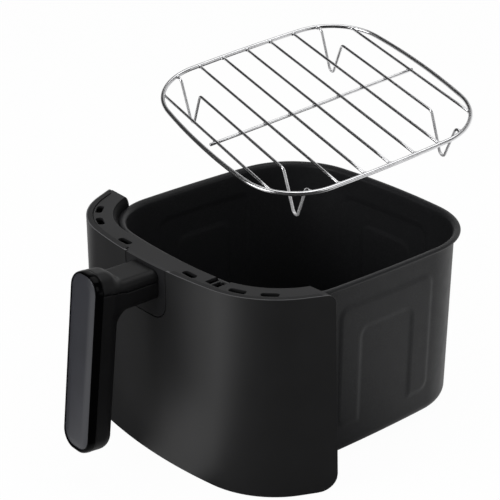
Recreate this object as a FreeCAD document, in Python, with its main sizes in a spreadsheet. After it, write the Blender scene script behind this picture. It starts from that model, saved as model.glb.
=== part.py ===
import FreeCAD, Part
import math
import os
from FreeCAD import Placement, Rotation, Vector

# Pull-out drawer of an air fryer: a coated pan with a front panel, top trim and handle,
# and a wire rack held above the pan, tipped towards the viewer.
# Frame: origin at the middle of the pan's underside, +Z up, handle towards -Y, +X to the right.
# Heights named "below rim" or "above rim" are measured from the top of the rim.

# Driving dimensions, in millimetres and degrees
DIMENSIONS = (
    ("rim_width", 230.0, "outer width of the rim, left to right"),
    ("rim_length", 232.0, "outer length of the rim, front to back"),
    ("rim_corner", 64.3, "corner radius of the rim's outline"),
    ("rim_corner_front", 56.0, "corner radius of the pan's rim at the front"),
    ("side_bow", 1400.0, "radius of the bowed left and right sides"),
    ("end_bow", 555.0, "radius of the bowed front and back sides"),
    ("pan_depth", 147.0, "height of the rim above the pan's underside"),
    ("pan_draft", 0.6, "lean of the pan's walls"),
    ("pan_wall", 1.5, "sheet thickness of the pan"),
    ("base_round", 9.0, "outer radius between wall and floor"),
    ("flange_width", 4.8, "overhang of the rim outside the wall"),
    ("flange_thick", 2.4, "height of the rim's edge"),
    ("emboss_depth", 0.8, "how far the pressed bands stand out of the wall"),
    ("emboss_half", 48.5, "half width over the pressed band's legs"),
    ("emboss_band", 21.0, "width of the pressed band"),
    ("emboss_top", 22.0, "top of the pressed band, below rim"),
    ("emboss_foot", 122.0, "lower end of the pressed band's legs, below rim"),
    ("emboss_round", 8.0, "corner radius of the pressed band"),
    ("panel_ahead", 28.6, "distance of the front face in front of the rim"),
    ("panel_bow_ratio", 1.8174, "plan radius of the front face over the rim's width"),
    ("panel_face_angle", 9.55, "half angle of the front face"),
    ("panel_corner_ratio", 0.3152, "plan radius of the panel's corners over the rim's width"),
    ("panel_turn_angle", 64.6, "angle that the panel turns through to its straight ends"),
    ("panel_wall", 3.0, "thickness of the panel"),
    ("panel_height", 162.0, "height of the panel"),
    ("panel_rise", 8.8, "top of the panel, above rim"),
    ("panel_end_back", 39.0, "distance of the panel's ends, at the top, behind the rim's front"),
    ("panel_end_lean", 1.7, "lean of the panel's ends"),
    ("panel_end_round_top", 6.0, "upper corner radius of the panel's ends"),
    ("panel_end_round_bottom", 14.0, "lower corner radius of the panel's ends"),
    ("panel_lip", 2.0, "width of the panel's top lip outside the trim"),
    ("trim_thick", 2.5, "thickness of the trim"),
    ("trim_drop", 0.5, "depth of the trim's top below the panel's top"),
    ("trim_forward", 8.0, "distance of the trim's inner edge in front of the rim"),
    ("trim_end_gap", 2.5, "distance of the trim's ends in front of the panel's"),
    ("trim_gap", 0.3, "gap between the trim or cover and the panel"),
    ("slot_length", 13.4, "length of the trim's slots"),
    ("slot_width", 5.4, "width of the trim's slots"),
    ("slot_round", 2.2, "corner radius of the trim's slots"),
    ("slot_inset", 9.6, "distance of the slots from the panel's outer face"),
    ("slot_side", 39.0, "distance of the front slots from the middle"),
    ("slot_angle_near", 23.6, "turn to the first corner slot"),
    ("slot_angle_far", 45.3, "turn to the second corner slot"),
    ("notch_side", 61.8, "distance of the notch's tongue from the middle"),
    ("notch_width", 13.4, "width of the notch"),
    ("notch_depth", 11.0, "depth of the notch"),
    ("tongue_width", 1.8, "width of the tongue in the notch"),
    ("tongue_hook", 3.4, "reach of the hook at the tongue's end"),
    ("tongue_end", 1.2, "distance of the tongue's end behind the middle of the trim's inner edge"),
    ("skirt_width", 3.2, "width of the trim's skirt at its foot"),
    ("skirt_lip", 0.4, "width of the trim's skirt at its top"),
    ("skirt_gap", 0.4, "gap between the skirt and the rim"),
    ("cover_wall", 2.0, "thickness of the inner cover"),
    ("cover_lift", 3.0, "height of the cover's lower edge above the panel's"),
    ("bracket_thick", 2.0, "sheet thickness of the bracket"),
    ("bracket_width", 90.0, "width of the bracket"),
    ("bracket_height", 70.0, "height of the bracket"),
    ("bracket_top", 8.0, "top of the bracket, below rim"),
    ("bracket_foot", 16.0, "width of the bracket's feet on the pan"),
    ("bracket_gap", 1.0, "gap round the bracket in the inner cover"),
    ("boss_length", 8.0, "distance between the panel and the bracket"),
    ("boss_diameter", 9.0, "diameter of the screw bosses"),
    ("boss_side", 35.0, "distance of the panel's bosses from the middle"),
    ("boss_margin", 12.0, "distance of bosses and rivets from the bracket's upper and lower edges"),
    ("rivet_diameter", 4.0, "diameter of the rivets' shanks"),
    ("rivet_head", 8.0, "diameter of the rivets' heads"),
    ("rivet_head_height", 1.4, "height of the rivets' heads"),
    ("screw_diameter", 4.0, "diameter of the panel screws"),
    ("screw_length", 8.0, "length of the panel screws under the head"),
    ("handle_screw_diameter", 5.0, "diameter of the handle screws"),
    ("handle_screw_length", 36.0, "length of the handle screws under the head"),
    ("handle_screw_side", 9.0, "distance of the handle screws from the middle"),
    ("handle_screw_drop", 10.0, "height of the handle screws, below rim"),
    ("screw_head_ratio", 1.9, "head diameter over shank diameter of the screws"),
    ("screw_head_height", 2.6, "height of the screws' heads"),
    ("shank_gap", 0.1, "radial gap round screws and rivets"),
    ("base_width", 47.0, "width of the handle's base plate"),
    ("base_drop", 32.5, "lower end of the base plate, below rim"),
    ("base_round_corner", 14.0, "lower corner radius of the base plate"),
    ("base_recess", 0.2, "depth of the base plate below the panel's face"),
    ("base_gap", 0.7, "gap between base plate and panel"),
    ("grip_reach", 55.7, "distance of the inlay's face in front of the panel, at rim height"),
    ("grip_lean", 6.44, "outward lean of the grip"),
    ("grip_width", 33.6, "width of the grip and neck"),
    ("grip_depth", 24.2, "depth of the grip from the inlay's face to its back"),
    ("grip_top", 16.3, "top of the grip, above rim"),
    ("grip_foot", 128.0, "lower end of the grip, below rim"),
    ("grip_round", 13.5, "end radius of the grip, seen from the front"),
    ("grip_edge", 7.0, "radius of the grip's back edges"),
    ("grip_wall", 3.0, "wall of the hollow grip"),
    ("grip_heel", 12.0, "radius of the grip's lower back corner"),
    ("neck_top", 6.0, "top of the neck, above rim"),
    ("neck_foot", 18.0, "lower side of the neck, below rim"),
    ("neck_run", 28.0, "length of the neck's flat top"),
    ("neck_hollow", 10.0, "radius between neck and grip, inside"),
    ("neck_sweep", 24.0, "radius between neck and grip, on top"),
    ("parting_drop", 2.5, "parting line of the handle, below rim"),
    ("parting_step", 1.0, "rise of the parting line's step in front of the neck"),
    ("parting_slope", 7.2, "slope of the parting line in front of its step"),
    ("bezel_depth", 7.2, "depth of the inlay's bezel"),
    ("bezel_lip", 0.5, "width of the bezel's edge round the inlay"),
    ("inlay_width", 30.4, "width of the inlay"),
    ("inlay_top", 14.7, "top of the inlay along the grip, above rim"),
    ("inlay_foot", 124.7, "lower end of the inlay along the grip, below rim"),
    ("inlay_round", 12.0, "corner radius of the inlay"),
    ("inlay_thick", 1.5, "thickness of the inlay"),
    ("inlay_gap", 0.15, "gap round the inlay"),
    ("rack_gap", 6.0, "gap between the rack and the pan's wall at the floor"),
    ("ring_wire", 3.4, "wire diameter of the rack's ring"),
    ("bar_wire", 2.2, "wire diameter of the bars and legs"),
    ("brace_wire", 2.4, "wire diameter of the brace"),
    ("weld_gap", 0.03, "gap between the bars' ends and the ring"),
    ("bar_margin", 11.66, "distance of the outer bars from the ring's end, between wire centres"),
    ("brace_overrun", 4.0, "length of the brace past the outer bars"),
    ("leg_depth", 38.0, "depth of the legs' V below the rack's plane, before its foot is bent round"),
    ("leg_end", 6.4, "level run from the ring's centre line to the legs' outer bend"),
    ("leg_slant_out", 14.5, "distance of the foot inside the outer bend"),
    ("leg_slant_in", 15.0, "distance of the inner bend inside the foot"),
    ("leg_bend", 4.0, "bend radius at the top of the legs"),
    ("foot_bend", 3.5, "bend radius of the feet"),
    ("rack_lift", 98.8, "height of the rack's middle, above rim"),
    ("rack_right", 12.8, "offset of the rack's middle to the right"),
    ("rack_back", 11.9, "offset of the rack's middle to the back"),
    ("rack_yaw_angle", -8.3, "turn of the rack about its upright axis"),
    ("rack_pitch_angle", 10.6, "tip of the rack to the right"),
    ("rack_roll_angle", 9.04, "tip of the rack to the front"),
)

# Heights and distances that follow from the driving dimensions
DERIVED = (
    ("panel_front", "=rim_length / 2 + panel_ahead", "distance of the front face from the middle"),
    ("panel_face_radius", "=rim_width * panel_bow_ratio", "plan radius of the front face"),
    ("panel_corner", "=rim_width * panel_corner_ratio", "plan radius of the panel's corners"),
    ("panel_end", "=rim_length / 2 - panel_end_back", "distance of the panel's ends, at the top"),
    ("trim_end", "=panel_end + trim_end_gap", "distance of the trim's ends"),
    ("panel_top", "=pan_depth + panel_rise", "height of the panel's top"),
    ("panel_bottom", "=panel_top - panel_height", "height of the panel's lower edge"),
    ("trim_seat", "=panel_top - trim_drop - trim_thick", "height of the trim's underside"),
    ("cover_bottom", "=panel_bottom + cover_lift", "height of the cover's lower edge"),
    ("plate_front", "=panel_front - panel_wall - boss_length", "distance of the bracket's face"),
    ("foot_front", "=rim_length / 2 - flange_width + bracket_thick / 2", "distance of the feet's face"),
    ("bracket_high", "=pan_depth - bracket_top", "height of the bracket's upper edge"),
    ("bracket_low", "=bracket_high - bracket_height", "height of the bracket's lower edge"),
    ("handle_screw_height", "=pan_depth - handle_screw_drop", "height of the handle screws"),
)

# Bars on each side of the middle bar; the last but one on each side carries feet
BARS_PER_SIDE = 4

# Turns that lay a drawing in the YZ plane, a rod along +X, a drawing or rod towards the front,
# and a rod the other way round
SIDE_PLANE = Rotation(Vector(1, 1, 1), 120)
ALONG_X = Rotation(Vector(0, 1, 0), 90)
TO_FRONT = Rotation(Vector(1, 0, 0), 90)
BACKWARD = Placement(Vector(), Rotation(Vector(1, 0, 0), 180))

doc = FreeCAD.newDocument("fryer_drawer")
sheet = doc.addObject("Spreadsheet::Sheet", "dims")


def fill_sheet():
    for row, (alias, value, note) in enumerate(DIMENSIONS + DERIVED, start=1):
        sheet.set(f"A{row}", note)
        sheet.set(f"B{row}", str(value))
        sheet.setAlias(f"B{row}", alias)
    doc.recompute()


def dim(alias):
    return float(sheet.get(alias))


# Outlines


def arc(centre, radius, start, end):
    return Part.ArcOfCircle(Part.Circle(centre, Vector(0, 0, 1), radius), start, end)


def line(start, end):
    return Part.LineSegment(start, end)


def corner_centre(side_centre, side_reach, end_centre, end_reach):
    # Where a circle about (side_centre, 0) crosses one about (0, end_centre), to the upper right.
    span = math.hypot(side_centre, end_centre)
    along = (side_reach ** 2 - end_reach ** 2 + span ** 2) / (2 * span)
    across = math.sqrt(side_reach ** 2 - along ** 2)
    step_x = -side_centre / span
    step_y = end_centre / span
    return side_centre + along * step_x - across * step_y, along * step_y + across * step_x


def rim_outline(inset, forward=0.0, front="rim_corner"):
    # Rim outline, drawn inset inside the rim and moved forward: bowed sides and round corners.
    # The dimension named front is the radius of its front corners.
    side = dim("side_bow") - inset
    end = dim("end_bow") - inset
    side_x = dim("rim_width") / 2 - dim("side_bow")
    end_y = dim("rim_length") / 2 - dim("end_bow")

    def corner(radius):
        # Centre, radius and both end angles of the corner at the back right.
        x, y = corner_centre(side_x, side - radius, end_y, end - radius)
        return x, y, radius, math.atan2(y, x - side_x), math.atan2(y - end_y, x)

    x, y, radius, low, high = corner(dim("rim_corner") - inset)
    fore_x, fore_y, fore, fore_low, fore_high = corner(dim(front) - inset)
    half = math.pi
    spans = (
        (side_x, 0, side, -fore_low, low),
        (x, y, radius, low, high),
        (0, end_y, end, high, half - high),
        (-x, y, radius, half - high, half - low),
        (-side_x, 0, side, half - low, half + fore_low),
        (-fore_x, -fore_y, fore, half + fore_low, half + fore_high),
        (0, -end_y, end, half + fore_high, 2 * half - fore_high),
        (fore_x, -fore_y, fore, 2 * half - fore_high, 2 * half - fore_low),
    )
    return [arc(Vector(cx, cy - forward, 0), r, a, b) for cx, cy, r, a, b in spans]


def pan_outline(inset):
    # Outline of the pan, inset inside its rim, with its tighter front corners.
    return rim_outline(inset, front="rim_corner_front")


def panel_line(inset, end):
    # Plan line of the front panel, inset inside its outer face, from its left end to its right end.
    # Both ends stop at the distance end in front of the pan's middle.
    turn = math.radians(dim("panel_turn_angle"))
    face_turn = math.radians(dim("panel_face_angle"))
    face = dim("panel_face_radius") - inset
    corner = dim("panel_corner") - inset
    middle = Vector(0, dim("panel_face_radius") - dim("panel_front"), 0)
    reach = dim("panel_face_radius") - dim("panel_corner")
    right = middle + Vector(math.sin(face_turn), -math.cos(face_turn), 0) * reach
    left = Vector(-right.x, right.y, 0)
    bend = right + Vector(math.sin(turn), -math.cos(turn), 0) * corner
    run = (-end - bend.y) / math.sin(turn)
    tip = bend + Vector(math.cos(turn), math.sin(turn), 0) * run
    down = -math.pi / 2
    return [
        line(Vector(-tip.x, tip.y, 0), Vector(-bend.x, bend.y, 0)),
        arc(left, corner, down - turn, down - face_turn),
        arc(middle, face, down - face_turn, down + face_turn),
        arc(right, corner, down + face_turn, down + turn),
        line(bend, tip),
    ]


def panel_band(outer, inner, end):
    # Closed band between two plan lines of the panel.
    front = panel_line(outer, end)
    back = panel_line(inner, end)
    left_cap = line(front[0].StartPoint, back[0].StartPoint)
    right_cap = line(front[-1].EndPoint, back[-1].EndPoint)
    return front + [right_cap] + back + [left_cap]


def panel_field(inset, end):
    # Closed area behind a plan line of the panel, cut off straight at its ends.
    front = panel_line(inset, end)
    return front + [line(front[-1].EndPoint, front[0].StartPoint)]


def rounded(points, radii, closed=True):
    # Straight runs through the points, with an arc of the given radius at each point; 0 keeps it sharp.
    count = len(points)
    entries = []
    exits = []
    curves = []
    for index, (point, radius) in enumerate(zip(points, radii)):
        before = (points[index - 1] - point).normalize()
        after = (points[(index + 1) % count] - point).normalize()
        if radius == 0 or (not closed and index in (0, count - 1)):
            entries.append(point)
            exits.append(point)
            continue
        half_angle = before.getAngle(after) / 2
        entries.append(point + before * (radius / math.tan(half_angle)))
        exits.append(point + after * (radius / math.tan(half_angle)))
        toward = (before + after).normalize()
        crown = point + toward * (radius / math.sin(half_angle) - radius)
        curves.append(Part.Arc(entries[-1], crown, exits[-1]))
    for index in range(count if closed else count - 1):
        curves.append(line(exits[index], entries[(index + 1) % count]))
    return curves


def box_outline(half_width, low, high, radius):
    points = [Vector(-half_width, low), Vector(half_width, low)]
    points += [Vector(half_width, high), Vector(-half_width, high)]
    return rounded(points, [radius] * 4)


# Document helpers


def draw(name, curves, place=Placement()):
    sketch = doc.addObject("Sketcher::SketchObject", name)
    sketch.addGeometry(curves, False)
    sketch.Placement = place
    return sketch


def level(height):
    return Placement(Vector(0, 0, height), Rotation())


def extrude(name, sketch, length, both_ways=False):
    solid = doc.addObject("Part::Extrusion", name)
    solid.Base = sketch
    solid.DirMode = "Normal"
    solid.Solid = True
    solid.Symmetric = both_ways
    solid.setExpression("LengthFwd", length)
    return solid


def loft(name, low, high):
    solid = doc.addObject("Part::Loft", name)
    solid.Sections = [low, high]
    solid.Solid = True
    solid.Ruled = True
    return solid


def cut(name, base, tool):
    result = doc.addObject("Part::Cut", name)
    result.Base = base
    result.Tool = tool
    return result


def common(name, base, tool):
    result = doc.addObject("Part::Common", name)
    result.Base = base
    result.Tool = tool
    return result


def fuse(name, *shapes):
    result = doc.addObject("Part::MultiFuse", name)
    result.Shapes = list(shapes)
    result.Refine = True
    return result


def group(name, members):
    result = doc.addObject("Part::Compound", name)
    result.Links = members
    return result


def round_edges(name, base, radius, chosen):
    # Rounds the edges of base for which chosen(edge) is true.
    doc.recompute()
    result = doc.addObject("Part::Fillet", name)
    result.Base = base
    edges = base.Shape.Edges
    result.Edges = [(n, radius, radius) for n, edge in enumerate(edges, start=1) if chosen(edge)]
    return result


def block(name, x, y, z, size_x, size_y, size_z):
    # Box whose corner and sizes are expressions of the sheet.
    solid = doc.addObject("Part::Box", name)
    for axis, expression in zip("xyz", (x, y, z)):
        solid.setExpression(f"Placement.Base.{axis}", expression)
    for prop, expression in zip(("Length", "Width", "Height"), (size_x, size_y, size_z)):
        solid.setExpression(prop, expression)
    return solid


def rod(name, place, radius, length):
    # Round bar from place along its local Z. The radius is an expression of the sheet,
    # and the length is one too, or a number.
    solid = doc.addObject("Part::Cylinder", name)
    solid.Placement = place
    solid.setExpression("Radius", radius)
    if isinstance(length, str):
        solid.setExpression("Height", length)
    else:
        solid.Height = length
    return solid


def lies_at(edge, height):
    return all(abs(vertex.Z - height) < 1e-6 for vertex in edge.Vertexes)


# Pan


def wall_inset(height):
    # Distance of the pan's outer wall inside the rim outline, at a height.
    lean = math.tan(math.radians(dim("pan_draft")))
    return dim("flange_width") + (dim("pan_depth") - height) * lean


def pan_form(name, inward, floor):
    # Tapered solid inside the pan's outer wall, from a floor height up to the rim.
    low = draw(name + "_low", pan_outline(wall_inset(floor) + inward), level(floor))
    top = dim("pan_depth")
    high = draw(name + "_high", pan_outline(wall_inset(top) + inward), level(top))
    return loft(name, low, high)


def pressed_band():
    # Upside-down U that is pressed out of the left, right and back walls.
    half = dim("emboss_half")
    inner = half - dim("emboss_band")
    high = dim("pan_depth") - dim("emboss_top")
    arch = high - dim("emboss_band")
    low = dim("pan_depth") - dim("emboss_foot")
    points = [Vector(-half, low), Vector(-inner, low), Vector(-inner, arch), Vector(inner, arch)]
    points += [Vector(inner, low), Vector(half, low), Vector(half, high), Vector(-half, high)]
    outline = rounded(points, [dim("emboss_round")] * 8)
    sides = draw("side_band_outline", outline, Placement(Vector(), SIDE_PLANE))
    back = draw("back_band_outline", outline, Placement(Vector(0, dim("rim_length"), 0), TO_FRONT))
    return fuse(
        "pressed_bands",
        extrude("side_bands", sides, "dims.rim_width * 2", both_ways=True),
        extrude("back_band", back, "dims.rim_length"),
    )


def pan_blank():
    # Pan without its rivet holes; also returns its plain outer form.
    wall = dim("pan_wall")
    press = dim("emboss_depth")
    bands = pressed_band()
    outer = pan_form("pan_outer", 0, 0)
    outer_round = round_edges("pan_outer_round", outer, dim("base_round"), lambda e: lies_at(e, 0))
    inner = pan_form("pan_inner", wall, wall)
    inner_radius = dim("base_round") - wall
    inner_round = round_edges("pan_inner_round", inner, inner_radius, lambda e: lies_at(e, wall))
    outer_press = common("outer_press", pan_form("pan_outer_swell", -press, 0), bands)
    inner_press = common("inner_press", pan_form("pan_inner_swell", wall - press, wall), bands)
    ring = draw(
        "flange_outline",
        pan_outline(0) + pan_outline(dim("flange_width") + dim("pan_wall") / 2),
        level(dim("pan_depth") - dim("flange_thick")),
    )
    flange = extrude("flange", ring, "dims.flange_thick")
    body = fuse("pan_solid", outer_round, outer_press, flange)
    hollow = fuse("pan_hollow", inner_round, inner_press)
    return cut("pan_blank", body, hollow), outer_round


# Bracket, rivets and screws


def bracket_rows():
    # Heights of the two rows of bosses and rivets.
    return (
        dim("bracket_low") + dim("boss_margin"),
        dim("bracket_high") - dim("boss_margin"),
    )


def rivet_side():
    return (dim("bracket_width") - dim("bracket_foot")) / 2


def fastener(name, place, shank, length, head, head_height):
    # Shank along the local Z from place, with its head behind place.
    pin = rod(name + "_shank", place, shank, length)
    cap = rod(name + "_head", place * BACKWARD, head, head_height)
    return fuse(name, pin, cap)


def wall_front(height):
    # Distance of the pan's outer front wall in front of the middle, at a height and at a rivet's side.
    bow = dim("end_bow")
    return dim("rim_length") / 2 - wall_inset(height) - bow + math.sqrt(bow ** 2 - rivet_side() ** 2)


def rivet_places():
    # Inner wall face behind each rivet, looking forward.
    places = []
    for height in bracket_rows():
        for side in (-1, 1):
            y = dim("pan_wall") - wall_front(height)
            places.append(Placement(Vector(side * rivet_side(), y, height), TO_FRONT))
    return places


def holes(name, places, diameter, length, start=0.0):
    # Group of round cutters along the local Z of each place, from start behind it.
    cutters = []
    for number, place in enumerate(places, start=1):
        moved = place * Placement(Vector(0, 0, -start), Rotation())
        radius = f"dims.{diameter} / 2 + dims.shank_gap"
        cutters.append(rod(f"{name}_{number}", moved, radius, length))
    return group(name, cutters)


def rivets(pan):
    # Rivets with a head on the pan's inside, shaped to the wall, and a tail on the bracket's foot.
    head = "dims.rivet_head / 2"
    head_height = "dims.rivet_head_height"
    made = []
    for number, place in enumerate(rivet_places(), start=1):
        foot = Vector(place.Base.x, -dim("foot_front"), place.Base.z)
        grip = place.Base.y - foot.y
        body = fastener(f"rivet_body_{number}", place, "dims.rivet_diameter / 2", grip, head, head_height)
        tail = rod(f"rivet_tail_{number}", Placement(foot, TO_FRONT), head, head_height)
        made.append(fuse(f"rivet_{number}", body, tail))
    return cut("bracket_rivets", group("rivet_blanks", made), pan)


def bracket_blank(pan_outer):
    # Hat-shaped sheet bracket: front plate, two webs and two feet that follow the pan's wall.
    # Webs and feet are drawn to the pan's middle, and the pan's form cuts them off at its wall.
    plate = block(
        "bracket_plate", "-dims.bracket_width / 2", "-dims.plate_front", "dims.bracket_low",
        "dims.bracket_width", "dims.bracket_thick", "dims.bracket_height",
    )
    parts = [plate]
    half = "dims.bracket_width / 2"
    for name, web_x, foot_x in (
        ("left", f"-{half}", f"-{half}"),
        ("right", f"{half} - dims.bracket_thick", f"{half} - dims.bracket_foot"),
    ):
        parts.append(block(
            name + "_web", web_x, "-dims.plate_front", "dims.bracket_low",
            "dims.bracket_thick", "dims.plate_front", "dims.bracket_height",
        ))
        parts.append(block(
            name + "_foot", foot_x, "-dims.foot_front",
            "dims.bracket_low", "dims.bracket_foot", "dims.foot_front", "dims.bracket_height",
        ))
    return cut("bracket_blank", fuse("bracket_sheet", *parts), pan_outer)


def panel_face_y(side):
    # Y of the panel's outer face at a distance from the middle.
    radius = dim("panel_face_radius")
    return radius - dim("panel_front") - math.sqrt(radius ** 2 - side ** 2)


def panel_screw_places():
    places = []
    for height in bracket_rows():
        for side in (-1, 1):
            point = Vector(side * dim("boss_side"), dim("bracket_thick") - dim("plate_front"), height)
            places.append(Placement(point, TO_FRONT))
    return places


def handle_screw_places():
    y = dim("bracket_thick") - dim("plate_front")
    height = dim("handle_screw_height")
    return [
        Placement(Vector(side * dim("handle_screw_side"), y, height), TO_FRONT) for side in (-1, 1)
    ]


def screws(name, places, diameter, length):
    head = f"dims.{diameter} / 2 * dims.screw_head_ratio"
    return group(name + "s", [
        fastener(f"{name}_{number}", place, f"dims.{diameter} / 2", length, head, "dims.screw_head_height")
        for number, place in enumerate(places, start=1)
    ])


# Front panel, trim and inner cover


def panel_shell(name, recess):
    # Curved wall of the panel with leaning, rounded ends and a rabbet for the trim.
    end_shift = dim("panel_height") * math.tan(math.radians(dim("panel_end_lean")))
    low_end = dim("panel_end") - end_shift
    band = draw(
        name + "_plan",
        panel_band(recess, dim("panel_wall"), low_end - dim("panel_wall")),
        level(dim("panel_bottom")),
    )
    wall = extrude(name + "_wall", band, "dims.panel_height")
    far = 2 * dim("panel_front")
    points = [Vector(-far, dim("panel_bottom")), Vector(-low_end, dim("panel_bottom"))]
    points += [Vector(-dim("panel_end"), dim("panel_top")), Vector(-far, dim("panel_top"))]
    radii = [0, dim("panel_end_round_bottom"), dim("panel_end_round_top"), 0]
    side = draw(name + "_side", rounded(points, radii), Placement(Vector(), SIDE_PLANE))
    kept = extrude(name + "_kept", side, "dims.panel_front * 4", both_ways=True)
    step = draw(
        name + "_rabbet_plan",
        panel_band(dim("panel_lip"), 2 * dim("panel_wall"), low_end - 2 * dim("panel_wall")),
        level(dim("trim_seat")),
    )
    rabbet = extrude(name + "_rabbet", step, "dims.panel_height")
    return cut(name, common(name + "_trimmed", wall, kept), rabbet)


def base_outline(gap):
    # Outline of the handle's base plate, grown by gap and open past the panel's top.
    half = dim("base_width") / 2 + gap
    low = dim("pan_depth") - dim("base_drop") - gap
    high = dim("panel_top") + dim("panel_wall")
    radius = dim("base_round_corner") + gap
    points = [Vector(-half, low), Vector(half, low), Vector(half, high), Vector(-half, high)]
    return rounded(points, [radius, radius, 0, 0])


def base_prism(name, gap):
    place = Placement(Vector(0, 0, 0), TO_FRONT)
    return extrude(name, draw(name + "_outline", base_outline(gap), place), "dims.panel_front * 2")


def bosses(name, places, inset):
    # Bosses from the bracket's face into the wall in front of it.
    made = []
    for number, place in enumerate(places, start=1):
        start = -dim("plate_front")
        stop = panel_face_y(place.Base.x) + inset
        seat = Placement(Vector(place.Base.x, start, place.Base.z), TO_FRONT)
        made.append(rod(f"{name}_{number}", seat, "dims.boss_diameter / 2", start - stop))
    return made


def front_panel():
    shell = panel_shell("panel_shell", 0)
    opened = cut("panel_opened", shell, base_prism("base_cutout", dim("base_gap")))
    places = panel_screw_places()
    solid = fuse("panel_solid", opened, *bosses("panel_boss", places, dim("panel_wall") / 2))
    return cut("front_panel", solid, holes("panel_pilot", places, "screw_diameter", "dims.screw_length"))


def handle_base():
    shell = panel_shell("base_shell", dim("base_recess"))
    plate = common("base_plate", shell, base_prism("base_shape", 0))
    places = handle_screw_places()
    solid = fuse("base_solid", plate, *bosses("base_boss", places, dim("panel_wall") * 2 / 3))
    return cut(
        "handle_base", solid,
        holes("base_hole", places, "handle_screw_diameter", "dims.handle_screw_length"),
    )


def slot_places():
    # Middle of each trim slot, with its local X along the trim.
    inset = dim("slot_inset")
    face_turn = math.radians(dim("panel_face_angle"))
    reach = dim("panel_face_radius") - dim("panel_corner")
    centre = Vector(
        math.sin(face_turn) * reach,
        dim("panel_face_radius") - dim("panel_front") - math.cos(face_turn) * reach, 0,
    )
    spots = [(Vector(dim("slot_side"), panel_face_y(dim("slot_side")) + inset, 0), 0.0)]
    for name in ("slot_angle_near", "slot_angle_far"):
        turn = math.radians(dim(name))
        outward = Vector(math.sin(turn), -math.cos(turn), 0)
        spots.append((centre + outward * (dim("panel_corner") - inset), dim(name)))
    places = []
    for point, turn in spots:
        for side in (-1, 1):
            spot = Vector(side * point.x, point.y, dim("panel_bottom"))
            places.append(Placement(spot, Rotation(Vector(0, 0, 1), side * turn)))
    return places


def notch(name, low):
    # Cutter of the notch, open to the pan, from a height upwards. It leaves a thin tongue with a hook.
    middle = dim("notch_side")
    half = dim("notch_width") / 2
    tongue = dim("tongue_width") / 2
    hook = middle + tongue + dim("tongue_hook")
    inner = -dim("rim_length") / 2 - dim("trim_forward")
    front = inner - dim("notch_depth") + dim("panel_wall")
    back = inner + dim("notch_depth")
    tip = inner + dim("tongue_end")
    points = [Vector(middle - half, front), Vector(middle - tongue, front), Vector(middle - tongue, tip)]
    points += [Vector(hook, tip), Vector(hook, tip - 2 * tongue), Vector(middle + tongue, tip - 2 * tongue)]
    points += [Vector(middle + tongue, front), Vector(middle + half, front)]
    points += [Vector(middle + half, back), Vector(middle - half, back)]
    outline = draw(name + "_outline", rounded(points, [0] * len(points)), level(low))
    return extrude(name, outline, "dims.panel_height * 2")


def trim_openings():
    # Six slots along the trim, and the notch.
    half = dim("slot_length") / 2
    wide = dim("slot_width") / 2
    cutters = [notch("trim_notch", dim("panel_bottom"))]
    for number, place in enumerate(slot_places(), start=1):
        outline = draw(f"slot_outline_{number}", box_outline(half, -wide, wide, dim("slot_round")), place)
        cutters.append(extrude(f"slot_{number}", outline, "dims.panel_height * 2"))
    return group("trim_openings", cutters)


def trim_inside(name, grow, low, length):
    # Solid inside the trim's inner edge: the rim's outline moved forward, grown by a wall.
    outline = draw(name + "_outline", rim_outline(-grow, dim("trim_forward")), level(low))
    return extrude(name, outline, length)


def trim_skirt():
    # Wedge inside the trim's edge that widens downwards and ends just above the rim.
    low = dim("pan_depth") + dim("skirt_gap")
    high = dim("trim_seat") + dim("trim_thick")
    forward = dim("trim_forward")
    foot = draw("skirt_foot_outline", rim_outline(dim("skirt_width"), forward), level(low))
    lip = draw("skirt_lip_outline", rim_outline(dim("skirt_lip"), forward), level(high))
    tall = "dims.trim_seat + dims.trim_thick - dims.pan_depth - dims.skirt_gap"
    form = trim_inside("skirt_form", 0, low, tall)
    ring = cut("skirt_ring", form, loft("skirt_hollow", foot, lip))
    zone = block(
        "skirt_zone", "-dims.rim_width", "-dims.rim_length * 2", "0",
        "dims.rim_width * 2", "dims.rim_length * 2 - dims.trim_end", "dims.panel_top",
    )
    return common("trim_skirt", ring, zone)


def top_trim():
    seat = dim("trim_seat")
    field = draw(
        "trim_field_outline", panel_field(dim("panel_lip") + dim("trim_gap"), dim("trim_end")), level(seat),
    )
    plate = extrude("trim_field", field, "dims.trim_thick")
    crescent = cut("trim_crescent", plate, trim_inside("trim_inside", 0, seat, "dims.trim_thick"))
    return cut("top_trim", fuse("trim_whole", crescent, trim_skirt()), trim_openings())


def inner_cover():
    # Rear wall and end walls that close the hollow behind the panel, below the trim.
    low = dim("cover_bottom")
    wall = dim("cover_wall")
    gap = dim("trim_gap")
    tall = "dims.trim_seat - dims.cover_bottom"
    outline = panel_field(dim("panel_wall") + gap, dim("trim_end"))
    field = extrude("cover_field", draw("cover_outline", outline, level(low)), tall)
    ring = cut("cover_ring", field, trim_inside("cover_inside", gap, low, tall))
    hollow_outline = panel_field(0, dim("trim_end") + wall)
    hollow = extrude("cover_hollow", draw("cover_hollow_outline", hollow_outline, level(low)), tall)
    room = cut("cover_room", hollow, trim_inside("cover_back", gap + wall, low, tall))
    window = block(
        "cover_window", "-dims.bracket_width / 2 - dims.bracket_gap", "-dims.panel_front",
        "dims.bracket_low - dims.bracket_gap", "dims.bracket_width + 2 * dims.bracket_gap",
        "dims.panel_front", "dims.bracket_height + 2 * dims.bracket_gap",
    )
    openings = fuse("cover_openings", window, notch("cover_notch", dim("trim_seat") - dim("notch_depth")))
    return cut("inner_cover", cut("cover_walls", ring, room), openings)


# Handle


def grip_frame(setback=0.0):
    # Frame of the leaning grip: local Y up along the inlay, local Z out of its face.
    lean = Rotation(Vector(1, 0, 0), 90 - dim("grip_lean"))
    origin = Vector(0, -dim("panel_front") - dim("grip_reach"), dim("pan_depth"))
    return Placement(origin, lean) * Placement(Vector(0, 0, -setback), Rotation())


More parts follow.
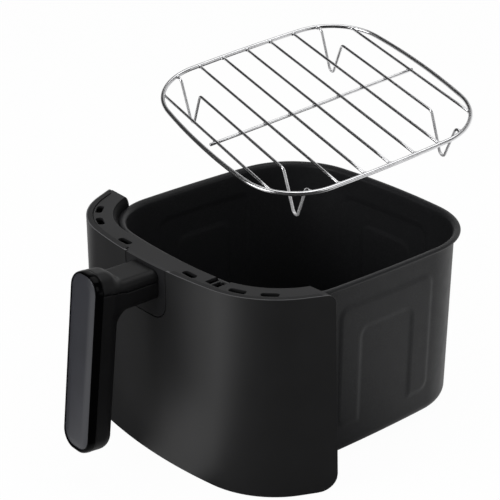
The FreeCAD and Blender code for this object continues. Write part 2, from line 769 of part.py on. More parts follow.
def grip_y(setback, height):
    # Y of a plane set back from the inlay's face, at a height above the rim.
    lean = math.radians(dim("grip_lean"))
    return -dim("panel_front") - dim("grip_reach") + setback / math.cos(lean) + height * math.tan(lean)


def handle_profile():
    # Side view of grip and neck, with Y to the right and Z up.
    rim = dim("pan_depth")
    front = dim("bezel_depth")
    back = dim("grip_depth")
    root = -dim("panel_front") + dim("panel_wall")
    run = -dim("panel_front") - dim("neck_run")
    points = [
        Vector(grip_y(front, dim("grip_top")), rim + dim("grip_top")),
        Vector(grip_y(front, -dim("grip_foot")), rim - dim("grip_foot")),
        Vector(grip_y(back, -dim("grip_foot")), rim - dim("grip_foot")),
        Vector(grip_y(back, -dim("neck_foot")), rim - dim("neck_foot")),
        Vector(root, rim - dim("neck_foot")),
        Vector(root, rim + dim("neck_top")),
        Vector(run, rim + dim("neck_top")),
    ]
    return rounded(points, [0, 0, dim("grip_heel"), dim("neck_hollow"), 0, 0, dim("neck_sweep")])


def on_plane(body, role):
    return next(feature for feature in body.Origin.OriginFeatures if feature.Role == role)


def handle_solid():
    # Grip and neck in one, padded from the side view, with its side edges rounded.
    body = doc.addObject("PartDesign::Body", "handle_form")
    sketch = body.newObject("Sketcher::SketchObject", "handle_side_view")
    sketch.AttachmentSupport = [(on_plane(body, "YZ_Plane"), "")]
    sketch.MapMode = "FlatFace"
    sketch.addGeometry(handle_profile(), False)
    pad = body.newObject("PartDesign::Pad", "handle_pad")
    pad.Profile = sketch
    pad.Midplane = True
    pad.setExpression("Length", "dims.grip_width")
    doc.recompute()
    half = dim("grip_width") / 2
    root = -dim("panel_front") + dim("panel_wall")
    seam = grip_frame(dim("bezel_depth")).inverse()

    def is_side_edge(edge):
        points = [vertex.Point for vertex in edge.Vertexes]
        on_side = all(abs(abs(point.x) - half) < 1e-6 for point in points)
        same_side = abs(points[0].x - points[-1].x) < 1e-6
        at_root = all(abs(point.y - root) < 1e-6 for point in points)
        at_seam = all(abs(seam.multVec(point).z) < 1e-6 for point in points)
        return on_side and same_side and not at_root and not at_seam

    fillet = body.newObject("PartDesign::Fillet", "handle_rounding")
    names = [f"Edge{n}" for n, edge in enumerate(pad.Shape.Edges, start=1) if is_side_edge(edge)]
    fillet.Base = (pad, names)
    fillet.setExpression("Radius", "dims.grip_edge")
    body.Tip = fillet
    return body


def grip_cavity():
    # Hollow of the grip below the neck, open to the bezel.
    half = dim("grip_width") / 2 - dim("grip_wall")
    low = dim("grip_wall") - dim("grip_foot")
    high = -dim("neck_foot") - dim("grip_wall")
    radius = dim("grip_edge") - dim("grip_wall")
    depth = "dims.grip_depth - dims.bezel_depth - dims.grip_wall"
    back = dim("grip_depth") - dim("grip_wall")
    outline = draw("grip_cavity_outline", box_outline(half, low, high, radius), grip_frame(back))
    return extrude("grip_cavity", outline, depth)


def grip_front():
    # Front view of the grip, through its whole depth and on over the neck's width.
    outline = box_outline(
        dim("grip_width") / 2, -dim("grip_foot"), dim("grip_top"), dim("grip_round"),
    )
    sketch = draw("grip_front_outline", outline, grip_frame(dim("grip_depth")))
    return extrude("grip_front", sketch, "dims.grip_depth * 2")


def parting_tool():
    # Everything above the parting line, which steps up in front of the neck and slopes on upwards.
    rim = dim("pan_depth")
    near = -dim("panel_front") - dim("neck_run")
    far = near - dim("parting_step")
    out = grip_y(0, 0)
    low = rim - dim("parting_drop")
    high = low + dim("parting_step")
    tip = high + (far - out) * math.tan(math.radians(dim("parting_slope")))
    sky = rim + 2 * dim("grip_top")
    points = [Vector(0, low), Vector(near, low), Vector(far, high), Vector(out, tip)]
    points += [Vector(out, sky), Vector(0, sky)]
    side = draw("parting_outline", rounded(points, [0] * len(points)), Placement(Vector(), SIDE_PLANE))
    return extrude("parting_tool", side, "dims.grip_width * 2", both_ways=True)


def handle_shells():
    # Lower shell and upper cover, split at the parting line, both seated on the base plate.
    form = handle_solid()
    grip = common("grip_part", form, grip_front())
    behind = block(
        "neck_zone", "-dims.grip_width", "-dims.panel_front - dims.neck_run - dims.neck_hollow", "0",
        "dims.grip_width * 2", "dims.panel_front", "dims.pan_depth * 2",
    )
    neck = common("neck_part", form, behind)
    seat = draw("neck_seat_outline", panel_field(dim("base_recess"), dim("trim_end")), level(0))
    seat_solid = extrude("neck_seat", seat, "dims.pan_depth * 2")
    whole = cut("handle_seated", fuse("handle_whole", grip, neck), seat_solid)
    hollow = cut("handle_hollow", whole, grip_cavity())
    drilled = cut(
        "handle_drilled", hollow,
        holes("handle_pilot", handle_screw_places(), "handle_screw_diameter", "dims.handle_screw_length"),
    )
    above = parting_tool()
    return cut("handle_lower", drilled, above), common("handle_upper", drilled, above)


def inlay_outline(grow):
    return box_outline(
        dim("inlay_width") / 2 + grow, -dim("inlay_foot") - grow, dim("inlay_top") + grow,
        dim("inlay_round") + grow,
    )


def inlay_bezel():
    # Glossy tray that closes the grip's front and carries the inlay.
    low = draw(
        "bezel_low",
        box_outline(dim("grip_width") / 2, -dim("grip_foot"), dim("grip_top"), dim("grip_round")),
        grip_frame(dim("bezel_depth")),
    )
    high = draw("bezel_high", inlay_outline(dim("bezel_lip")), grip_frame())
    recess = draw("bezel_recess_outline", inlay_outline(dim("inlay_gap")), grip_frame(dim("inlay_thick")))
    hollow = extrude("bezel_recess", recess, "dims.bezel_depth")
    return cut("inlay_bezel", loft("bezel_form", low, high), hollow)


def inlay_face():
    body = doc.addObject("PartDesign::Body", "inlay_face")
    sketch = body.newObject("Sketcher::SketchObject", "inlay_outline")
    sketch.AttachmentSupport = [(on_plane(body, "XY_Plane"), "")]
    sketch.MapMode = "FlatFace"
    sketch.addGeometry(inlay_outline(0), False)
    pad = body.newObject("PartDesign::Pad", "inlay_pad")
    pad.Profile = sketch
    pad.setExpression("Length", "dims.inlay_thick")
    body.Placement = grip_frame(dim("inlay_thick"))
    return body


# Rack, drawn level about its own middle and turned to its pose


def rack_pose():
    turn = Rotation(dim("rack_yaw_angle"), dim("rack_pitch_angle"), dim("rack_roll_angle"))
    middle = Vector(dim("rack_right"), dim("rack_back"), dim("pan_depth") + dim("rack_lift"))
    return Placement(middle, turn)


def ring_inset():
    # Distance of the ring's centre line inside the rim outline.
    return wall_inset(0) + dim("pan_wall") + dim("rack_gap") + dim("ring_wire") / 2


def bar_pitch():
    return (dim("rim_length") / 2 - ring_inset() - dim("bar_margin")) / BARS_PER_SIDE


def wire(name, curves, place, diameter, start, direction):
    # Round wire along curves from start, drawn in the plane of place within the rack.
    path = draw(name + "_path", curves, rack_pose() * place)
    profile = doc.addObject("Part::Circle", name + "_section")
    profile.setExpression("Radius", f"dims.{diameter} / 2")
    profile.Placement = rack_pose() * Placement(start, Rotation(Vector(0, 0, 1), direction))
    doc.recompute()
    sweep = doc.addObject("Part::Sweep", name + "_wire")
    sweep.Sections = [profile]
    sweep.Spine = (path, [f"Edge{n}" for n in range(1, len(path.Shape.Edges) + 1)])
    sweep.Solid = True
    return sweep


def rack_ring():
    # Ring parallel to the pan's inner wall at the floor.
    curves = rim_outline(ring_inset())
    start = curves[0].StartPoint
    tangent = curves[0].tangent(curves[0].FirstParameter)[0]
    return wire("ring", curves, Placement(), "ring_wire", start, tangent)


def ring_reach(offset):
    # Half length of a bar at a distance from the rack's middle, up to the ring's centre line.
    path = Part.Wire([curve.toShape() for curve in rim_outline(ring_inset())])
    probe = Part.makeLine(Vector(0, offset, 0), Vector(dim("rim_width"), offset, 0))
    return path.distToShape(probe)[1][0][0].x


def ring_sockets(name, offset):
    # Cutters that shape the ends of a bar to the ring, at a distance from the rack's middle.
    reach = ring_reach(offset)
    near = dim("bar_wire") / 2
    slope = (ring_reach(offset + near) - ring_reach(offset - near)) / (2 * near)
    cutters = []
    for side, end in ((-1, "left"), (1, "right")):
        along = Vector(side * slope, 1, 0).normalize()
        start = Vector(side * reach, offset, 0) - along * dim("ring_wire")
        place = rack_pose() * Placement(start, Rotation(Vector(0, 0, 1), along))
        radius = "dims.ring_wire / 2 + dims.weld_gap"
        cutters.append(rod(f"{name}_{end}_socket", place, radius, "dims.ring_wire * 2"))
    return group(name + "_sockets", cutters)


def fit_to_ring(name, bar, offset, ring):
    # Takes the ends of a bar off at the ring, then what is left of them in the ring's bends.
    return cut(name, cut(name + "_shaped", bar, ring_sockets(name, offset)), ring)


def rack_bar(name, step, ring):
    # Straight bar, so many pitches behind the middle, that butts against the inside of the ring.
    offset = step * bar_pitch()
    reach = ring_reach(offset)
    place = rack_pose() * Placement(Vector(-reach, offset, 0), ALONG_X)
    bar = rod(name + "_rod", place, "dims.bar_wire / 2", 2 * reach)
    return fit_to_ring(name, bar, offset, ring)


def rack_leg(name, step, ring):
    # Bar, so many pitches behind the middle, that dips into a V-shaped foot near each end.
    offset = step * bar_pitch()
    reach = ring_reach(offset)
    outer = reach - dim("leg_end")
    foot = outer - dim("leg_slant_out")
    inner = foot - dim("leg_slant_in")
    half = [Vector(reach, 0), Vector(outer, 0), Vector(foot, -dim("leg_depth")), Vector(inner, 0)]
    points = [Vector(-point.x, point.y) for point in half] + half[::-1]
    bends = [0, dim("leg_bend"), dim("foot_bend"), dim("leg_bend")]
    curves = rounded(points, bends + bends[::-1], closed=False)
    place = Placement(Vector(0, offset, 0), TO_FRONT)
    start = Vector(-reach, offset, 0)
    leg = wire(name, curves, place, "bar_wire", start, Vector(1, 0, 0))
    return fit_to_ring(name, leg, offset, ring)


def rack_brace():
    # Rod under the middle of all bars, welded to them.
    reach = BARS_PER_SIDE * bar_pitch() + dim("brace_overrun")
    drop = (dim("bar_wire") + dim("brace_wire")) / 2
    place = rack_pose() * Placement(Vector(0, reach, -drop), TO_FRONT)
    return rod("rack_brace", place, "dims.brace_wire / 2", 2 * reach)


def rack():
    ring = rack_ring()
    nodes = {"rack_ring": ring, "rack_brace": rack_brace()}
    legs = {1 - BARS_PER_SIDE: "rack_leg_front", BARS_PER_SIDE - 1: "rack_leg_rear"}
    for number, step in enumerate(range(-BARS_PER_SIDE, BARS_PER_SIDE + 1), start=1):
        if step in legs:
            nodes[legs[step]] = rack_leg(legs[step], step, ring)
        else:
            nodes[f"rack_bar_{number}"] = rack_bar(f"rack_bar_{number}", step, ring)
    return nodes


# Assembly


def drawer():
    pan_raw, pan_outer = pan_blank()
    places = rivet_places()
    through = "dims.pan_wall * 2 + dims.bracket_thick * 3"
    pan = cut("pan", pan_raw, holes("pan_hole", places, "rivet_diameter", through, dim("pan_wall")))
    bracket = bracket_blank(pan_outer)
    lead = dim("pan_wall") + dim("bracket_thick")
    for tag, spots, diameter in (
        ("rivet", places, "rivet_diameter"),
        ("panel", panel_screw_places(), "screw_diameter"),
        ("handle", handle_screw_places(), "handle_screw_diameter"),
    ):
        cutters = holes(f"bracket_{tag}_hole", spots, diameter, through, lead)
        bracket = cut(f"bracket_{tag}", bracket, cutters)
    lower, upper = handle_shells()
    return {
        "pan": pan,
        "pan_bracket": bracket,
        "bracket_rivets": rivets(pan),
        "inner_cover": inner_cover(),
        "front_panel": front_panel(),
        "panel_screws": screws(
            "panel_screw", panel_screw_places(), "screw_diameter", "dims.screw_length",
        ),
        "top_trim": top_trim(),
        "handle_base": handle_base(),
        "handle_lower": lower,
        "handle_upper": upper,
        "handle_screws": screws(
            "handle_screw", handle_screw_places(), "handle_screw_diameter", "dims.handle_screw_length",
        ),
        "inlay_bezel": inlay_bezel(),
        "inlay_face": inlay_face(),
    }


def check(nodes):
    # Stops the build if any object failed or any node's shape is missing or broken.
    for item in doc.Objects:
        if {"Invalid", "Error"} & set(item.State):
            raise RuntimeError(f"{item.Name} failed: {item.State}")
    for name, node in nodes.items():
        if node.Shape.isNull() or not node.Shape.isValid() or not node.Shape.Solids:
            raise RuntimeError(f"{name} has no sound shape")


def write(nodes):
    os.makedirs("parts", exist_ok=True)
    for name, node in nodes.items():
        node.Label = name
        node.Shape.exportStep(f"parts/{name}.step")
        print(f"{name}: {len(node.Shape.Solids)} solids, {node.Shape.Volume / 1000:.2f} cm3")


def main():
    fill_sheet()
    nodes = drawer()
    nodes.update(rack())
    doc.recompute()
    check(nodes)
    write(nodes)


main()
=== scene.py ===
import math
import bpy
import numpy as np
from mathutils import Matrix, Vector


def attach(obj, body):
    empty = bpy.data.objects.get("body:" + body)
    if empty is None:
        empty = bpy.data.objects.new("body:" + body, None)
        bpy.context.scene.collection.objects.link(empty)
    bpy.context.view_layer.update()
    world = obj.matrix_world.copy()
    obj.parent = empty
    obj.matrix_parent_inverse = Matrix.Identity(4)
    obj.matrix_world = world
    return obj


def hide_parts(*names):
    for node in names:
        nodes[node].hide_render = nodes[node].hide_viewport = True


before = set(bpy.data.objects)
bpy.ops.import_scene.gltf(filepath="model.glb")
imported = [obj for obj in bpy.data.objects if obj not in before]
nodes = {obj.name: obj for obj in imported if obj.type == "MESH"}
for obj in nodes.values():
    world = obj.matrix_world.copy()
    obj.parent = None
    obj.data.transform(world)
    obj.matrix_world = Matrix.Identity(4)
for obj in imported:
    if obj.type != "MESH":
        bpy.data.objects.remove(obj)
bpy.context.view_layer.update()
scene = bpy.context.scene
mm = 0.001
print("frame loaded:", len(nodes), "nodes")


# small mesh helpers, all sizes in millimetres

def makePiece(name, points, faces, body, slotName, material, node, sharp):
    mesh = bpy.data.meshes.new(name)
    mesh.from_pydata((np.asarray(points, float) * mm).tolist(), [], [list(map(int, f)) for f in faces])
    mesh.validate()
    mesh.shade_smooth()
    mesh.set_sharp_from_angle(angle=math.radians(sharp))
    piece = bpy.data.objects.new(name, mesh)
    scene.collection.objects.link(piece)
    mesh.materials.append(material)
    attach(piece, body)
    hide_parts(node)
    return piece


def softenEdges(piece, width):
    bevel = piece.modifiers.new("edgeRound", "BEVEL")
    bevel.width = width * mm
    bevel.segments = 3
    bevel.limit_method = "ANGLE"
    bevel.angle_limit = math.radians(50)


def gridFaces(rows, columns, wrap=False, start=0, flip=False):
    faces = []
    for r in range(rows - 1):
        for c in range(columns if wrap else columns - 1):
            d = (c + 1) % columns
            quad = [start + r * columns + c, start + r * columns + d,
                    start + (r + 1) * columns + d, start + (r + 1) * columns + c]
            faces.append(quad[::-1] if flip else quad)
    return faces


def ringStack(rings):
    # closed form through rings of equal count, with a flat face at each end
    count = len(rings[0])
    faces = gridFaces(len(rings), count, wrap=True)
    faces.append(list(range(count))[::-1])
    faces.append([(len(rings) - 1) * count + c for c in range(count)])
    return np.concatenate(rings), faces


def ease(value, low, high):
    t = np.clip((value - low) / (high - low), 0.0, 1.0)
    return t * t * (3 - 2 * t)


def roundBox(u, v, halfU, halfV, radius):
    # signed distance to a rounded rectangle
    a = np.abs(u) - halfU + radius
    b = np.abs(v) - halfV + radius
    outside = np.hypot(np.maximum(a, 0), np.maximum(b, 0))
    return outside + np.minimum(np.maximum(a, b), 0) - radius


# materials: noise scales are per metre, bump heights in millimetres

def startMaterial(name):
    material = bpy.data.materials.new(name)
    material.use_nodes = True
    tree = material.node_tree
    return material, tree, tree.nodes["Principled BSDF"]


def addNoise(tree, scale, detail):
    place = tree.nodes.new("ShaderNodeTexCoord")
    noise = tree.nodes.new("ShaderNodeTexNoise")
    noise.inputs["Scale"].default_value = scale
    noise.inputs["Detail"].default_value = detail
    tree.links.new(place.outputs["Object"], noise.inputs["Vector"])
    return noise.outputs["Fac"]


def addFade(tree, value, ends, levels, curve="LINEAR"):
    fade = tree.nodes.new("ShaderNodeMapRange")
    fade.interpolation_type = curve
    for key, number in zip(("From Min", "From Max", "To Min", "To Max"), (*ends, *levels)):
        fade.inputs[key].default_value = number
    tree.links.new(value, fade.inputs["Value"])
    return fade.outputs["Result"]


def setTones(tree, shader, noise, dark, pale, ends=(0.35, 0.65)):
    ramp = tree.nodes.new("ShaderNodeValToRGB")
    for element, tone, end in zip(ramp.color_ramp.elements, (dark, pale), ends):
        element.position = end
        element.color = (*tone, 1)
    tree.links.new(noise, ramp.inputs["Fac"])
    tree.links.new(ramp.outputs["Color"], shader.inputs["Base Color"])


def setRoughness(tree, shader, noise, low, high):
    tree.links.new(addFade(tree, noise, (0.0, 1.0), (low, high)), shader.inputs["Roughness"])


def addBump(tree, shader, noise, strength, height):
    bump = tree.nodes.new("ShaderNodeBump")
    bump.inputs["Strength"].default_value = strength
    bump.inputs["Distance"].default_value = height * mm
    tree.links.new(noise, bump.inputs["Height"])
    tree.links.new(bump.outputs["Normal"], shader.inputs["Normal"])


plasticGrain = {"cloud": 18.0, "grain": 2600.0, "detail": 2.0, "swing": 0.06, "bump": 0.12, "height": 0.06}


def grainedPlastic(name, dark, pale, rough, shine, bump=plasticGrain["bump"]):
    # moulded plastic with a fine erosion grain and a faint uneven tone
    g = plasticGrain
    material, tree, shader = startMaterial(name)
    setTones(tree, shader, addNoise(tree, g["cloud"], g["detail"]), dark, pale)
    grain = addNoise(tree, g["grain"], g["detail"])
    setRoughness(tree, shader, grain, rough - g["swing"], rough + g["swing"])
    addBump(tree, shader, grain, bump, g["height"])
    shader.inputs["Specular IOR Level"].default_value = shine
    return material


glossGrain = {"cloud": 25.0, "cloudDetail": 2.0, "smear": 60.0, "smearDetail": 4.0, "swing": (0.7, 1.4)}


def glossPlastic(name, dark, pale, rough, shine):
    # polished plastic, a little smeared
    g = glossGrain
    material, tree, shader = startMaterial(name)
    setTones(tree, shader, addNoise(tree, g["cloud"], g["cloudDetail"]), dark, pale)
    low, high = g["swing"]
    setRoughness(tree, shader, addNoise(tree, g["smear"], g["smearDetail"]), rough * low, rough * high)
    shader.inputs["Specular IOR Level"].default_value = shine
    return material


coatGrain = {
    "fleck": 1500.0, "fleckEnds": (0.45, 0.78), "cloud": 120.0, "detail": 3.0, "swing": 0.07,
    "bump": 0.1, "height": 0.05,
}


def panCoating(name, dark, pale, rough, shine):
    # satin non-stick coat with tiny pale flecks
    g = coatGrain
    material, tree, shader = startMaterial(name)
    fleck = addNoise(tree, g["fleck"], g["detail"])
    setTones(tree, shader, fleck, dark, pale, g["fleckEnds"])
    cloud = addNoise(tree, g["cloud"], g["detail"])
    setRoughness(tree, shader, cloud, rough - g["swing"], rough + g["swing"])
    addBump(tree, shader, fleck, g["bump"], g["height"])
    shader.inputs["Specular IOR Level"].default_value = shine
    return material


wireGrain = {
    "cloud": 90.0, "cloudDetail": 3.0, "polish": 700.0, "polishDetail": 2.0, "swing": (0.6, 1.5),
    "bump": 0.05, "height": 0.05,
}


def platedWire(name, dark, pale, rough, metal=1.0):
    # bright plating with faint clouds and polishing marks
    g = wireGrain
    material, tree, shader = startMaterial(name)
    cloud = addNoise(tree, g["cloud"], g["cloudDetail"])
    setTones(tree, shader, cloud, dark, pale)
    low, high = g["swing"]
    setRoughness(tree, shader, addNoise(tree, g["polish"], g["polishDetail"]), rough * low, rough * high)
    addBump(tree, shader, cloud, g["bump"], g["height"])
    shader.inputs["Metallic"].default_value = metal
    return material


plastics = {
    "panelSkin": dict(dark=(0.0075, 0.0075, 0.0081), pale=(0.0098, 0.0098, 0.0106), rough=0.48, shine=0.74),
    # painted highlight: paler than the panel's plastic, for the lit edge of the lip
    "lipSkin": dict(dark=(0.05, 0.05, 0.053), pale=(0.058, 0.058, 0.062), rough=0.36, shine=0.5),
    "ledgeSkin": dict(dark=(0.0074, 0.0074, 0.0079), pale=(0.009, 0.009, 0.0097), rough=0.48, shine=0.15),
    "trimSkin": dict(dark=(0.0105, 0.0105, 0.0112), pale=(0.0128, 0.0128, 0.0138), rough=0.46, shine=0.22),
    # paler than the panel's plastic: painted light that lifts the base plate out of the handle's shadow
    "baseSkin": dict(dark=(0.0125, 0.0125, 0.0134), pale=(0.0145, 0.0145, 0.0158), rough=0.48, shine=0.3),
    "handleSkin": dict(dark=(0.0052, 0.0052, 0.0056), pale=(0.0066, 0.0066, 0.0071), rough=0.42, shine=0.18),
    # near black: the inner cover's black plastic darkened as painted shade, and the skirt's painted shade
    # under the trim
    "coverSkin": dict(dark=(0.003, 0.003, 0.0033), pale=(0.0042, 0.0042, 0.0046), rough=0.6, shine=0.05),
    "inlaySkin": dict(dark=(0.028, 0.0285, 0.034), pale=(0.033, 0.034, 0.041), rough=0.3, shine=0.5,
                      bump=0.05),
}
glosses = {
    "bezelGloss": dict(dark=(0.0006, 0.0006, 0.0008), pale=(0.0011, 0.0011, 0.0013), rough=0.12, shine=0.05),
}
coats = {
    "panSkin": dict(dark=(0.011, 0.0112, 0.0122), pale=(0.026, 0.0265, 0.028), rough=0.45, shine=0.19),
}
metals = {
    "wireSkin": dict(dark=(0.6, 0.6, 0.61), pale=(0.72, 0.72, 0.73), rough=0.2),
    # same plating made half-metallic, so the legs render paler grey: a painted reflection of the lamps
    "footSkin": dict(dark=(0.6, 0.6, 0.61), pale=(0.72, 0.72, 0.73), rough=0.24, metal=0.5),
    "steelSkin": dict(dark=(0.36, 0.36, 0.365), pale=(0.46, 0.46, 0.465), rough=0.32),
}
skins = {}
for make, looks in ((grainedPlastic, plastics), (glossPlastic, glosses), (panCoating, coats),
                    (platedWire, metals)):
    for skinName, look in looks.items():
        skins[skinName] = make(skinName, **look)
print("materials made:", len(skins))


# pan: bowed sides, round corners, upside-down U pressed out of three walls

panSizes = {
    "width": 230.0, "length": 232.0, "corner": 64.3, "frontCorner": 56.0, "sideBow": 1400.0, "endBow": 555.0,
    "depth": 147.0, "draft": 0.6, "wall": 1.5, "floorRound": 9.0, "floorTurn": 84.0, "flange": 4.8,
    "press": 0.8, "pressHalf": 48.5, "pressBand": 21.0, "pressTop": 125.0, "pressFoot": 25.0,
    "pressRound": 8.0, "pressSlope": 1.7, "pressWall": 0.9,  # the last: how squarely a point faces its wall
    # the floor's shallow dish: distance in from the bend, and height
    "dish": ((30.0, 0.9), (22.0, 0.5), (18.0, 0.0)),
    # rows of the wall up to a depth below the rim, then of the neck between two depths
    "wallTop": 13.0, "wallRows": 62, "neck": (11.0, 6.4), "neckRows": 4,
    # the rim's hollow, lip and mouth: inset and height of the centre, radius, first and last angle, points
    "rimArcs": ((2.0, -5.6, 2.7, 8, 88, 6), (1.45, -1.45, 1.45, 262, 100, 9), (2.4, -4.0, 4.0, 84, 6, 8)),
}


def rimCorner(radius):
    # centre of the back right corner, and the turns at which it starts and stops
    s = panSizes
    sideX, endY = s["width"] / 2 - s["sideBow"], s["length"] / 2 - s["endBow"]
    span = math.hypot(sideX, endY)
    a, b = s["sideBow"] - radius, s["endBow"] - radius
    along = (a * a - b * b + span * span) / (2 * span)
    across = math.sqrt(a * a - along * along)
    stepX, stepY = -sideX / span, endY / span
    x, y = sideX + along * stepX - across * stepY, along * stepY + across * stepX
    return x, y, math.atan2(y, x - sideX), math.atan2(y - endY, x)


def rimLine(sideSteps=64, cornerSteps=30, front="corner"):
    # rim outline as points and outward normals
    s = panSizes
    side, end, corner, fore = s["sideBow"], s["endBow"], s["corner"], s[front]
    sideX, endY, half = s["width"] / 2 - side, s["length"] / 2 - end, math.pi
    x, y, low, high = rimCorner(corner)
    foreX, foreY, foreLow, foreHigh = rimCorner(fore)
    arcs = (
        (sideX, 0, side, -foreLow, low, sideSteps), (x, y, corner, low, high, cornerSteps),
        (0, endY, end, high, half - high, sideSteps), (-x, y, corner, half - high, half - low, cornerSteps),
        (-sideX, 0, side, half - low, half + foreLow, sideSteps),
        (-foreX, -foreY, fore, half + foreLow, half + foreHigh, cornerSteps),
        (0, -endY, end, half + foreHigh, 2 * half - foreHigh, sideSteps),
        (foreX, -foreY, fore, 2 * half - foreHigh, 2 * half - foreLow, cornerSteps),
    )
    points, normals = [], []
    for cx, cy, radius, start, stop, steps in arcs:
        turn = np.linspace(start, stop, steps, endpoint=False)
        normal = np.stack([np.cos(turn), np.sin(turn)], 1)
        points.append(normal * radius + (cx, cy))
        normals.append(normal)
    return np.concatenate(points), np.concatenate(normals)


def pressedOut(points, normals, height):
    # how far the wall is pressed out at each point of a ring
    s = panSizes
    onSide = np.abs(normals[:, 0]) > s["pressWall"]
    onWall = onSide | (normals[:, 1] > s["pressWall"])
    across = np.where(onSide, points[:, 1], points[:, 0])
    middle, half = (s["pressTop"] + s["pressFoot"]) / 2, (s["pressTop"] - s["pressFoot"]) / 2
    outer = roundBox(across, height - middle, s["pressHalf"], half, s["pressRound"])
    gapTop = s["pressTop"] - s["pressBand"]
    inner = roundBox(across, height - gapTop + half, s["pressHalf"] - s["pressBand"], half, s["pressRound"])
    distance = np.maximum(outer, -inner)
    return np.where(onWall, s["press"] * (1 - ease(distance, -s["pressSlope"], s["pressSlope"])), 0)


def curveRow(cx, cz, radius, start, stop, steps):
    turn = np.radians(np.linspace(start, stop, steps))
    return [(cx + radius * math.cos(t), cz + radius * math.sin(t)) for t in turn]


def floorBend(inset, low, radius):
    # round from the floor up into the wall, as rows that aren't pressed
    turns = np.radians(np.linspace(0, panSizes["floorTurn"], 9))
    return [(inset + radius - radius * math.sin(t), low + radius - radius * math.cos(t), 0) for t in turns]


def buildPan():
    s = panSizes
    points, normals = rimLine(front="frontCorner")
    lean = math.tan(math.radians(s["draft"]))
    top, bend, wall = s["depth"], s["floorRound"], s["wall"]
    wallAt = lambda z: s["flange"] + (top - z) * lean
    foot = wallAt(bend)
    neckLow, neckHigh = s["neck"]
    heights = np.concatenate([np.linspace(bend, top - s["wallTop"], s["wallRows"]),
                              np.linspace(top - neckLow, top - neckHigh, s["neckRows"])])
    # rows of (inset from the rim's outline, height, pressed or not), from under the floor round to its top
    rows = [(foot + bend + i, z, 0) for i, z in s["dish"]]
    rows += floorBend(foot, 0.0, bend)
    rows += [(wallAt(z), z, 1) for z in heights]
    for arc in s["rimArcs"]:
        rows += [(i, top + z, 0) for i, z in curveRow(*arc)]
    rows += [(wallAt(z) + wall, z, 1) for z in heights[::-1][1:]]
    rows += floorBend(foot + wall, wall, bend - wall)[::-1]
    rows += [(foot + bend + i, z + wall, 0) for i, z in s["dish"][::-1]]
    rings = []
    for inset, height, pressed in rows:
        shift = pressedOut(points, normals, height) if pressed else 0
        ring = points - normals * np.reshape(inset - shift, (-1, 1))
        rings.append(np.column_stack([ring, np.full(len(ring), height)]))
    makePiece("panShell", *ringStack(rings), "drawer", "pan_coating", skins["panSkin"], "pan", 60)


buildPan()
print("pan made")


# front panel: bowed shell with leaning, rounded ends and an opening for the handle's base

panelSizes = {
    "front": 144.6, "faceRadius": 418.0, "faceAngle": 9.55, "corner": 72.5, "turn": 64.6, "wall": 3.0,
    "top": 155.8, "bottom": -6.2, "end": 77.0, "endLean": 1.7, "roundTop": 6.0, "roundBottom": 14.0,
    "lip": 2.0, "lipEnd": -84.0, "seat": 3.0, "edge": 0.6,
    # rows of the mesh: heights above the bottom, then drops below the top beside the opening
    "rises": (0, 0.25, 0.8, 1.7, 3, 4.8, 7, 10, 14, 19, 26, 35, 46, 58, 70, 82, 94, 106, 116, 125),
    "drops": (22.8, 17.8, 12.8, 8.8, 6.0, 4.4, 3.0, 2.0, 1.2, 0.65, 0.25, 0.0),
}
# the base is let into the panel, so the panel's opening follows its sizes
baseSizes = {"half": 23.5, "low": 114.5, "round": 14.0, "recess": 0.2, "gap": 0.7, "drop": 0.3, "edge": 0.5}


def faceY(x, inset=0.0):
    s = panelSizes
    radius = s["faceRadius"] - inset
    return s["faceRadius"] - s["front"] - np.sqrt(radius ** 2 - np.asarray(x, float) ** 2)


def cornerCentre():
    # plan centre of the panel's right corner
    s = panelSizes
    turn, reach = math.radians(s["faceAngle"]), s["faceRadius"] - s["corner"]
    return math.sin(turn) * reach, s["faceRadius"] - s["front"] - math.cos(turn) * reach


def panelEnd(z):
    # y of the panel's ends at a height, with both corners rounded
    s = panelSizes
    y = -s["end"] + (s["top"] - z) * math.tan(math.radians(s["endLean"]))
    for radius, away in ((s["roundBottom"], z - s["bottom"]), (s["roundTop"], s["top"] - z)):
        if away < radius:
            y -= radius - math.sqrt(max(radius ** 2 - (radius - away) ** 2, 0))
    return y


def panelRow(inset, end, middle, runSteps=10, cornerSteps=34, faceSteps=12):
    # plan points from the left end to the right end; middle holds the x values of the opening's columns
    s = panelSizes
    turn, faceTurn = math.radians(s["turn"]), math.radians(s["faceAngle"])
    cx, cy = cornerCentre()
    radius = s["corner"] - inset
    bend = np.array([cx + math.sin(turn) * radius, cy - math.cos(turn) * radius])
    run = (end - bend[1]) / math.sin(turn)
    tip = bend + np.array([math.cos(turn), math.sin(turn)]) * run
    faceEdge = math.sin(faceTurn) * (s["faceRadius"] - inset)
    right = [(x, faceY(x, inset)) for x in np.linspace(middle[-1], faceEdge, faceSteps)[1:-1]]
    for t in np.linspace(faceTurn, turn, cornerSteps)[:-1]:
        right.append((cx + math.sin(t) * radius, cy - math.cos(t) * radius))
    right += [tuple(bend + (tip - bend) * f) for f in np.linspace(0, 1, runSteps)]
    left = [(-x, y) for x, y in right[::-1]]
    return np.array(left + [(x, faceY(x, inset)) for x in middle] + right), len(left)


def openingLow(x, half, low, radius):
    # lower edge of the opening for the handle's base
    over = np.maximum(np.abs(x) - (half - radius), 0)
    return low + radius - np.sqrt(np.maximum(radius ** 2 - over ** 2, 0))


